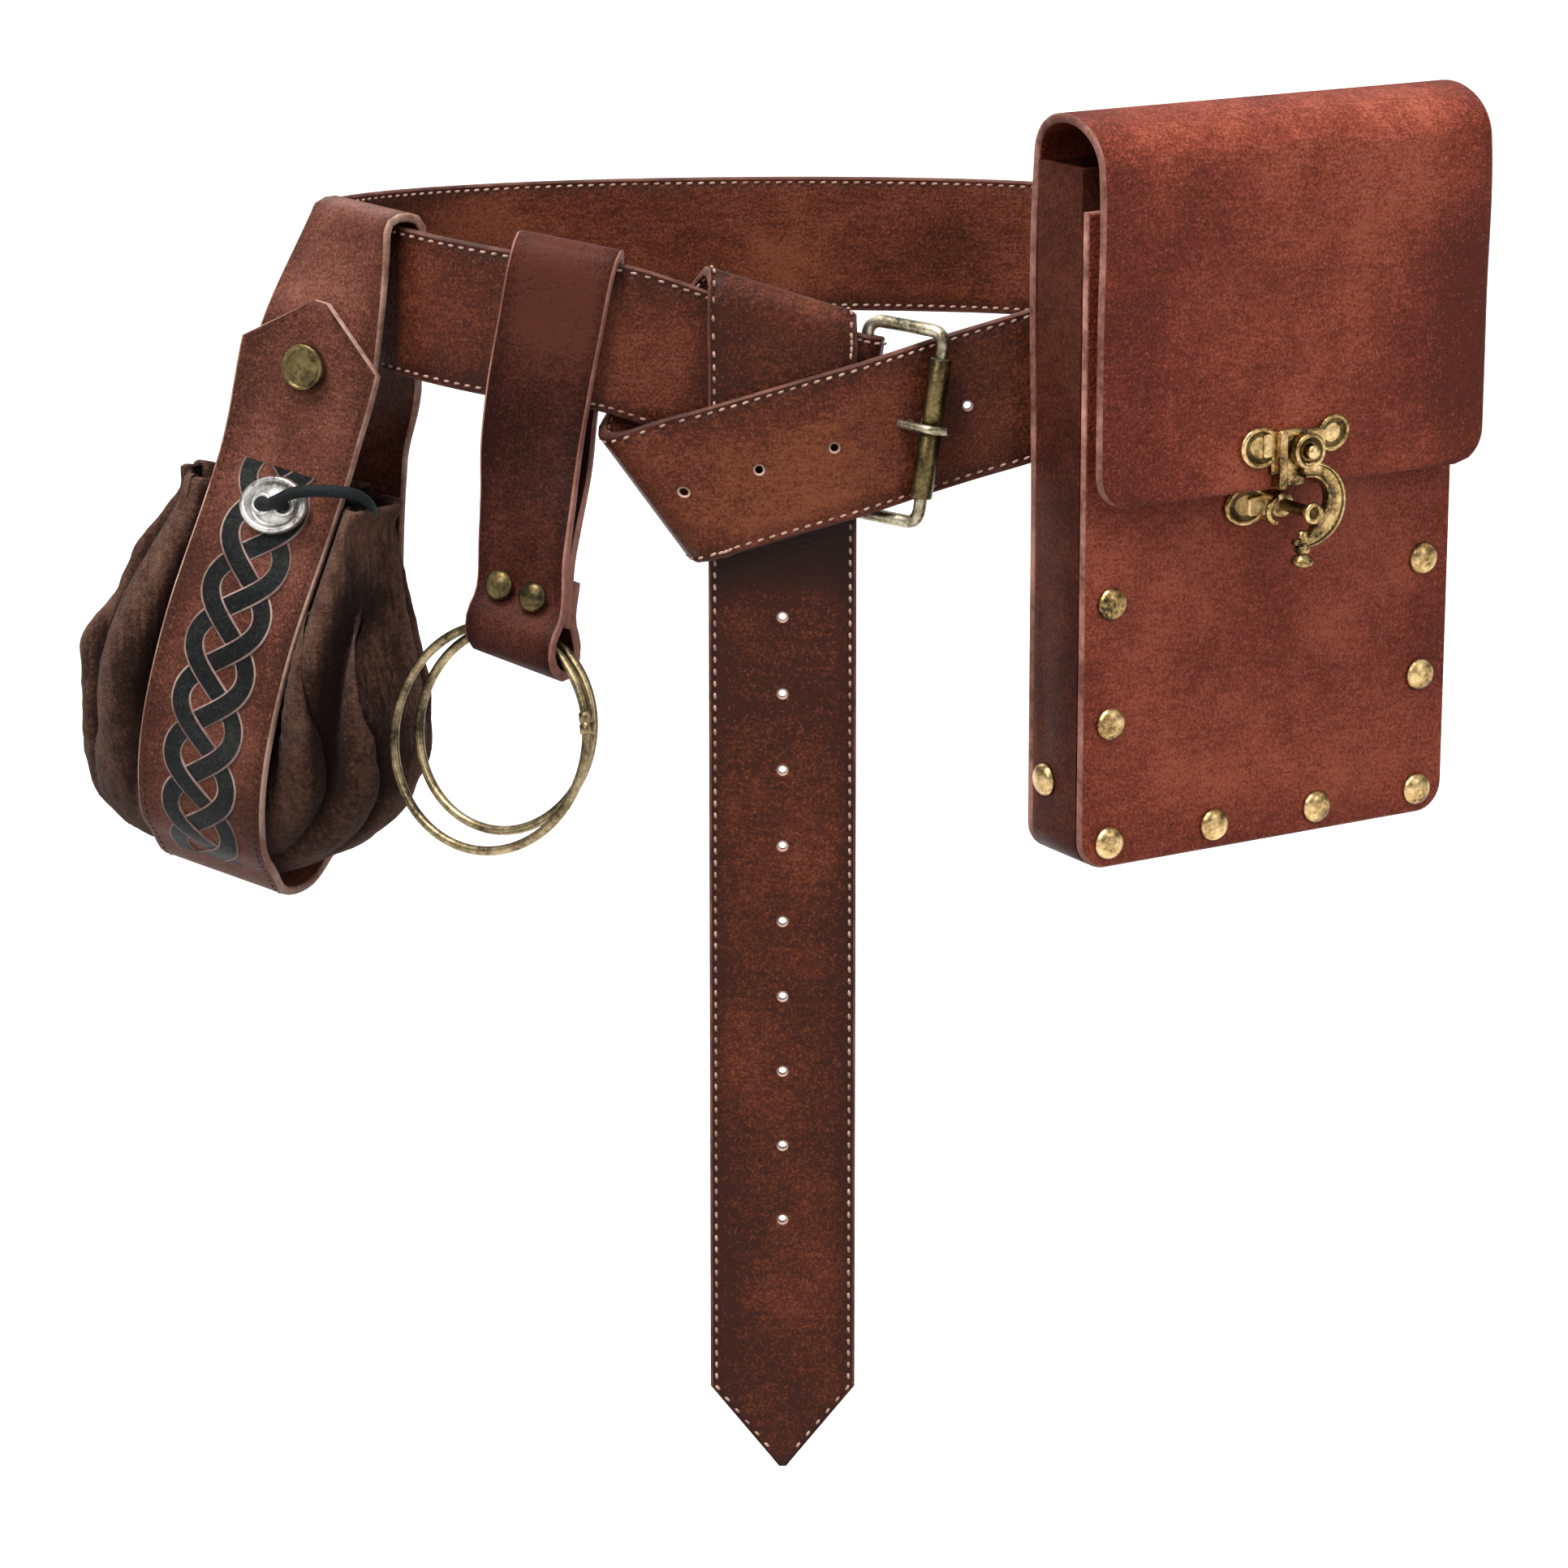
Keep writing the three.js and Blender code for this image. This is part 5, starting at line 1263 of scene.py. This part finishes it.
def makeClaspHook():
    low, high = clasp["hookLow"], clasp["hookHigh"]
    hook = Casting(clasp["x"], -bag["flapOut"] - bag["gap"], clasp["z"])
    section = [(0, low), (0, high - 0.4), (0.07, high - 0.05), (0.15, high), (0.22, high - 0.5),
               (0.5, high - 0.65), (0.76, high - 0.5), (0.84, high), (0.93, high - 0.05), (1, high - 0.4),
               (1, low)]
    (rimX, rimZ, outer), (innerX, innerZ, inner) = clasp["rim"], clasp["hollow"]
    steps, wide = clasp["sweepSteps"], len(section)
    points = []
    for t in [i / steps for i in range(steps + 1)]:
        a, b = math.radians(100 - clasp["sweep"] * t), math.radians(98 - clasp["sweep"] * t)
        edge = Vector((rimX + outer * math.cos(a), rimZ + outer * math.sin(a)))
        within = Vector((innerX + inner * math.cos(b), innerZ + inner * math.sin(b)))
        within = edge.lerp(within, 1 - 0.72 * smoothstep(t, 0.72, 1))  # draws to a tip
        for share, height in section:
            spot = within.lerp(edge, share)
            points.append(hook.at(spot.x, height, spot.y))
    hook.keep(points, ringFaces(steps + 1, wide))
    for i in range(steps):
        hook.slots[i * wide + 3] = 1  # the hollow's two walls
        hook.slots[i * wide + 6] = 1
    bore = clasp["pin"] + bag["gap"]
    hook.turn(0, 0, 0, [(bore, low), (4.7, low), (5, high - 0.7), (4.8, high - 0.1), (4.3, high + 0.1),
                        (3.8, high - 0.1), (3.4, high - 0.8), (2.5, high - 0.9), (bore, high - 0.8)],
              bored=True, deep=(5, 6))
    hook.turn(*clasp["knob"], clasp["knobProfile"], (0, 0, -1), deep=(2, 6))
    hook.make("claspHookLook", "clasp_hook", "clasp_hook")


def makeClaspCatch():
    catch = Casting(clasp["x"], -bag["gap"], clasp["z"] - clasp["drop"])
    catch.bar(*clasp["catchBar"], clasp["base"])
    catch.leaf(*clasp["catchLeaf"])
    catch.turn(0, 0, 0, [(0, 3.6), (3.1, 3.5), (3.6, 3), (4.4, 0.2), (4.2, 0), (0, 0)])
    pin, foot, reach = clasp["pin"], clasp["foot"], bag["flapOut"] + clasp["post"]
    catch.turn(0, 0, 0, [(0, reach - 0.9), (1.2, reach - 0.8), (1.6, reach), (2.2, reach + 0.5),
                         (2.8, reach + 0.3), (3, reach - 0.6), (2.7, reach - 1.6), (pin, reach - 2.2),
                         (pin, foot), (0, foot)], deep=(0, 1))
    catch.wire(clasp["claw"], clasp["clawRadius"])
    catch.make("claspCatchLook", "clasp_catch")


makeClaspPlate()
makeClaspHook()
makeClaspCatch()
print("clasp done")


# pouch
pouch = {
    "place": (-130, -46, -51.6), "yaw": -25, "roll": 13, "wall": 1.8, "gap": 0.3, "seed": 7,
    "flutes": 13, "fluteSides": 22, "lobe": 0.7, "square": 0.78, "top": -8, "lip": -7.2, "base": -117,
    "floor": -110, "outerRows": 54, "innerRows": 30, "rimTilt": 0.1, "rimFrom": -60, "rimTo": -10,
    "strapWidth": 41, "loopWidth": 38, "crest": 3.4, "strapThickness": 2.5, "shoulderWidth": 44,
    "shoulder": 31, "tip": 46, "tipWidth": 4, "bottom": -120.6, "bottomReach": -115, "beltAlong": 146,
    "beltOffset": 4.6, "backOffset": -6.8, "legEnd": 17, "legTop": 33, "stud": 28, "studRadius": 6.5,
    "strapLines": [12, 7, 3.5], "strapStep": 3.0, "worn": (25, 5, 20, -0.8),  # before, after, fade, amount of the painted highlight over the loop's crest
    "seam": {"pitch": 2.6, "inset": 2.4, "wobble": 0.25, "length": 1.5, "radius": 0.32,
             "first": 190, "last": 3},
}
pouchRows = [  # height, half width, half depth, flute depth, sideways shift
    (-8, 34, 17, 6, -5.5), (-15, 33.5, 15.5, 6.5, -5.5), (-30, 39.5, 23.5, 8.5, -6.5),
    (-48, 45.5, 30, 8.5, -4.5), (-66, 53, 32.5, 7, -5), (-84, 51.5, 31, 4.2, -3.5),
    (-100, 45, 25, 1.8, -7), (-111, 36, 16.5, 0.4, -11.5), (-117, 27, 9, 0, -12.5),
]
strapReach = [  # height, how far out the strap's middle runs
    (46, 12), (28, 13), (0, 16), (-20, 21.5), (-42, 28.5), (-66, 32), (-88, 30.5), (-106, 23), (-115, 12.5),
]
foldsByStrap = [  # gathers beside the strap: place at the neck, drift lower down, reach past the strap
    {"middle": 24.8, "half": 5.0, "drift": 1.5, "past": 3.4},
    {"middle": 34.0, "half": 4.4, "drift": 5.5, "past": -4.0},
    {"middle": -27, "half": 6.5, "drift": -5, "past": -0.6},
]
foldWiden = 3  # a gather's half width grows by this lower down
pouchTurn = turnsOf(0, pouch["roll"], pouch["yaw"])


def pouchWay(x, y, z):
    return pouchTurn @ Vector((x, y, z))


def inPouch(x, y, z):
    return pouchWay(x, y, z) + Vector(pouch["place"])


def reachAt(z):
    return eased(strapReach, z, 1)


def makePouchBody():
    flutes, wall = pouch["flutes"], pouch["wall"]
    strapHalf = pouch["strapWidth"] / 2
    random.seed(pouch["seed"])
    gathers = []
    for _ in range(flutes):  # sideways, outwards and upwards
        gathers.append((random.uniform(-0.13, 0.13), random.uniform(-0.8, 1.2), random.uniform(-1.2, 1.2)))

    def crumple(turn, z, size):
        return noise.noise(Vector((math.cos(turn) * size, math.sin(turn) * size, z * size * 0.03)))

    def valley(k, z):  # where a valley runs, swaying a little on its way down
        sway = noise.noise(Vector((k % flutes * 3.7, z * 0.022, 5.5)))
        return 2 * math.pi * (k + gathers[k % flutes][0] + 0.16 * sway) / flutes

    def foldAt(turn, z):  # which gather, and how far across it
        k = math.floor(turn * flutes / (2 * math.pi))
        if turn < valley(k, z):
            k -= 1
        elif turn >= valley(k + 1, z):
            k += 1
        first, last = valley(k, z), valley(k + 1, z)
        return k % flutes, (turn - first) / (last - first)

    def besideStrap(x, z, reach, lit, inset):  # gathers that come forward, painted paler on their crests as highlight, with painted shade in the creases between them
        gather = smoothstep(z, -92, -45)
        lower = 1 - smoothstep(z, -60, -14)
        for fold in foldsByStrap:
            apart = (x - fold["middle"] - fold["drift"] * lower) / (fold["half"] + foldWiden * lower)
            weight = max(0, 1 - abs(apart) ** 2.6) ** 0.8 * gather
            reach += weight * max(0, reachAt(z) + fold["past"] - inset - reach)
            # painted shade along each gather's borders, the one by the strap as well
            crease = math.exp(-((abs(apart) - 1) / 0.22) ** 2) * gather
            lit = max(lit, weight) * (1 - 0.6 * crease)
        return reach, lit

    def ring(z, inset):
        wide, deep, flute, shift = (eased(pouchRows, z, column) for column in (1, 2, 3, 4))
        pressed = reachAt(z) - pouch["strapThickness"] / 2 - 5 * pouch["gap"]
        lift = pouch["rimTilt"] * smoothstep(z, pouch["rimFrom"], pouch["rimTo"])
        loose = smoothstep(z, -24, -8)
        row, worn = [], []
        for turn in around(flutes * pouch["fluteSides"]):
            k, across = foldAt(turn, z)
            _, outwards, upwards = gathers[k]
            lobe = max(math.sin(math.pi * across), 0) ** pouch["lobe"]
            depth = 1.45 * flute * (1 + 0.3 * crumple(turn + 9, z, 1.1))
            swell = depth * (lobe - 1) + outwards * lobe * min(flute / 5, 1) - inset
            swell += 0.9 * crumple(turn + 4, z, 3.5) + 0.4 * crumple(turn, z, 9.0)
            x = shift + (wide + swell) * math.sin(turn)
            y = -(deep + swell) * math.copysign(abs(math.cos(turn)) ** pouch["square"], math.cos(turn))
            limit = pressed - inset + 30 * smoothstep(abs(x), strapHalf, strapHalf + 8)
            reach = min(abs(y), limit)
            # painted light: the lobes' tops kept pale as highlight and their valleys darker as shade, where
            # the flutes run deep
            lit = 1 - (1 - lobe) * min(flute / 6, 1)
            if y < 0 and abs(x) > strapHalf + 0.4:
                reach, lit = besideStrap(x, z, reach, lit, inset)
            row.append(inPouch(x, math.copysign(reach, y), z + lift * x + upwards * loose * lobe))
            worn.append(lit)
        return row, worn

    top, base, outerRows, innerRows = pouch["top"], pouch["base"], pouch["outerRows"], pouch["innerRows"]
    levels = [(base + (top - base) * k / outerRows, 0) for k in range(outerRows + 1)]
    levels.append((pouch["lip"], wall / 2))
    levels += [(top + (pouch["floor"] - top) * k / innerRows, wall) for k in range(innerRows)]
    rows = [ring(z, inset) for z, inset in levels + [(pouch["floor"], 2 * wall)]]
    points = [p for row, _ in rows for p in row]
    faces = ringFaces(len(rows), len(rows[0][0]))
    shell = addPiece("pouchBodyLook", points, faces, ["pouchSuede"],
                     replaced=("pouch_body",))
    # the painted highlight and shade of the gathers go to the crest attribute
    setAttribute(shell, "crest", [value for _, worn in rows for value in worn])


def pouchStations():
    # from the end behind the stud over the belt, down the back, under the pouch and up the front
    width, thick = pouch["strapWidth"], pouch["strapThickness"]
    half, loopHalf = width / 2, pouch["loopWidth"] / 2
    sideways = pouchWay(1, 0, 0)
    at, step, out, across = beltFrame(pouch["beltAlong"])
    belly = belt["width"] / 2
    ahead, behind = pouch["beltOffset"], pouch["backOffset"]
    middle, radius = (ahead + behind) / 2, (ahead - behind) / 2
    stations = []
    for z in (pouch["legEnd"], pouch["stud"], pouch["legTop"]):
        stations.append([inPouch(0, thick + 2 * pouch["gap"] - reachAt(z), z), sideways, loopHalf])
    rows = [(belly - 1 + pouch["crest"] * math.sin(a), middle + radius * math.cos(a))
            for a in [math.pi * i / 12 for i in range(13)]]  # up and out from the belt's middle
    rows += [(up, behind) for up in (8, -8, -belly)]
    stations += [[at + across * up + out * offset, -step, loopHalf] for up, offset in rows]
    levels = [0, -9, -20, -31, -42, -54, -66, -77, -88, -98, -106, -112]
    under = reachAt(pouch["bottomReach"])
    path = [(reachAt(z), z) for z in levels]
    path += [(t * under, pouch["bottom"] + 3.4 * t * t) for t in (0.6, 0.2, -0.2, -0.6)]
    path += [(-reachAt(z), z) for z in levels[::-1]]
    stations += [[inPouch(0, y, z), sideways, half] for y, z in path]
    for z in (10, 20, pouch["shoulder"], pouch["tip"]):
        wide = width + smoothstep(z, 0, pouch["shoulder"]) * (pouch["shoulderWidth"] - width)
        if z == pouch["tip"]:
            wide = pouch["tipWidth"]
        stations.append([inPouch(0, -reachAt(z), z), sideways, wide / 2])
    return stations


pouchStrap = Strap(pouchStations(), pouch["strapThickness"], pouch["strapWidth"])


def makePouchStrap():
    half, length, seam = pouch["strapWidth"] / 2, pouchStrap.length, pouch["seam"]
    # a painted highlight, paler over the loop's crest where it curves over the belt
    before, after, fade, amount = pouch["worn"]
    lines = mirrored([half - strapCut["lip"], half - 2, half - 3] + pouch["strapLines"])
    crest = pouchStrap.crest()
    makeStrap("pouchStrapLook", pouchStrap, lines, ["pouchLeather", "pouchEdge"],
              ("pouch_strap",), pouch["strapStep"], paintedShading=[(crest - before, crest + after, fade, amount)])
    makeSeam("pouchStitches", pouchStrap, length - seam["first"], length - seam["last"], seam,
             "darkThread")


plait = {
    "strands": 3, "wave": 48, "swing": 9.2, "half": 3.05, "cut": 0.5, "rise": 0.3, "top": -1, "low": -113,
    "step": 1.1,
    "section": [(-1, 0, -0.25), (-1, 0, 0), (-1, 1, 0.05), (1, 1, 0.05), (1, 0, 0),
                (1, 0, -0.25)],  # side, inside the cut edge, lift
}


def plaitEnds():
    def height(s):
        return (pouchTurn.inverted() @ (pouchStrap.frame(s)[0] - Vector(pouch["place"]))).z

    marks = [pouchStrap.length - 200 + k for k in range(200)]
    start = next(s for s in marks if height(s) > plait["low"] and height(s + 1) > height(s))
    return start, next(s for s in marks if s > start and height(s) > plait["top"])


def makePlait():
    # flat strands crossing over and under each other, with pale cut edges, laid on the strap's front
    start, stop = plaitEnds()
    face = pouch["strapThickness"] / 2
    count, wide = round((stop - start) / plait["step"]), len(plait["section"])
    points, faces, slots = [], [], []
    for strand in range(plait["strands"]):
        base = len(points)
        for i in range(count + 1):
            s = start + (stop - start) * i / count
            phase = 2 * math.pi * (s - start) / plait["wave"] + 2 * math.pi * strand / plait["strands"]
            rise = plait["rise"] * (1.15 + math.sin(2 * phase))
            lean = math.cos(phase) * plait["swing"] * 2 * math.pi / plait["wave"]
            widen = math.sqrt(1 + lean * lean)  # keeps the width on the slant
            middle = plait["swing"] * math.sin(phase)
            for side, inner, lift in plait["section"]:
                half = (plait["half"] - (plait["cut"] if inner else 0)) * widen
                sunk = 0 if lift < 0 else rise
                points.append(pouchStrap.point(s, middle + side * half, face + sunk + lift))
        for i in range(count):
            for k in range(wide - 1):
                a, b = base + i * wide + k, base + (i + 1) * wide + k
                faces.append((a, a + 1, b + 1, b))
                slots.append(0 if k == 2 else 1)
    addPiece("pouchPlait", points, faces, ["plaitBlack", "plaitCut"], slots)


def makeStud():
    thick, gap, r = pouch["strapThickness"], pouch["gap"], pouch["studRadius"]
    grip = 2 * thick + 9 * gap
    profile = [(0, 2.2), (r * 0.5, 2.15), (r * 0.72, 1.95), (r * 0.8, 1.75), (r * 0.84, 2.2), (r * 0.9, 2.5),
               (r * 0.97, 2.0), (r, 1.0), (r * 0.98, 0.0), (2, 0), (2, -grip), (r * 0.7, -grip),
               (r * 0.65, -grip - 0.7), (0, -grip - 1)]
    seat = inPouch(0, -reachAt(pouch["stud"]) - thick / 2 - 3 * gap, pouch["stud"])
    points, faces = turned(profile, 40, seat, pouchWay(0, -1, 0))
    addPiece("pouchStudLook", points, faces, ["oldBronze"], replaced=("pouch_stud",))


button = {
    "x": 3, "z": -10, "spacing": 3.4, "turn": -12, "lean": 0.28, "oval": (9.6, 7.6), "sides": 48,
    "dish": [(0.05, 1.7), (0.58, 1.7), (0.68, 1.2), (0.76, 1.4), (0.83, 2.9), (0.93, 3.4), (1.02, 2.9),
             (1.07, 1.6), (1.02, 0.4), (0.9, 0.0), (0.05, 0.0)],  # share of the oval, rise
    "holeRim": (2.6, 2.5, 2.1, 0.75),  # half width, half height, rise, wire
    "strand": [(-1, 0.4), (-0.9, 3.4), (-0.3, 4.2), (0.3, 4.2), (0.9, 3.4), (1, 0.4)],  # spacings, rise
}
cord = {
    "radius": 1.7, "strandShare": 0.9, "sides": 12,
    "route": [(-1.5, -22.5, -10.8), (1.5, -25.2, -10), (5.7, -27.5, -7.2), (11.1, -27.3, -3.3),
              (19.2, -23.1, -1.1), (24.3, -16, -2), (25.3, -8.8, -7), (19.7, -3.2, -12.7),
              (9.5, -1.7, -14.7)],  # from the button's hole
}


def makeDrawstring():
    path = curveThrough([inPouch(*p) for p in cord["route"]], 90)
    drawstring = makeTube("drawstring", path, cord["radius"], cord["sides"], "cordBlack",
                          replaced=("pouch_cord",))
    line = [tuple(p * mm) for p in path]
    length = sum((b - a).length for a, b in zip(path, path[1:])) * mm


def makeButton():
    depth = -reachAt(button["z"]) - pouch["strapThickness"] / 2 - 8 * pouch["gap"]
    seat = Vector((button["x"], depth, button["z"]))
    turn = Vector((0, 1, 0)).rotation_difference(Vector((0, -1, button["lean"])).normalized())
    spin = math.radians(button["turn"])

    def onButton(across, up, rise):
        return inPouch(*(seat + turn @ Vector((across * math.cos(spin) - up * math.sin(spin), rise,
                                               across * math.sin(spin) + up * math.cos(spin)))))

    strand = [onButton(share * button["spacing"], 0, rise) for share, rise in button["strand"]]
    makeTube("buttonStrand", curveThrough(strand, 30), cord["radius"] * cord["strandShare"], cord["sides"],
             "cordBlack")
    points = []
    wide, high = button["oval"]
    circle = around(button["sides"])
    for share, rise in button["dish"]:
        points += [onButton(wide * share * math.cos(a), high * share * math.sin(a), rise) for a in circle]
    faces = ringFaces(len(button["dish"]), len(circle))
    wide, high, rise, wire = button["holeRim"]
    for side in (-1, 1):
        middle = side * button["spacing"]
        rim = [onButton(middle + wide * math.cos(a), high * math.sin(a), rise) for a in circle]
        more, quads = tubeOf(rim, wire, 12, len(points), closed=True)
        points += more
        faces += quads
    addPiece("pouchButtonLook", points, faces, ["pewter"], replaced=("pouch_button",))


makePouchBody()
makePouchStrap()
makePlait()
makeStud()
makeDrawstring()
makeButton()
print("pouch done")
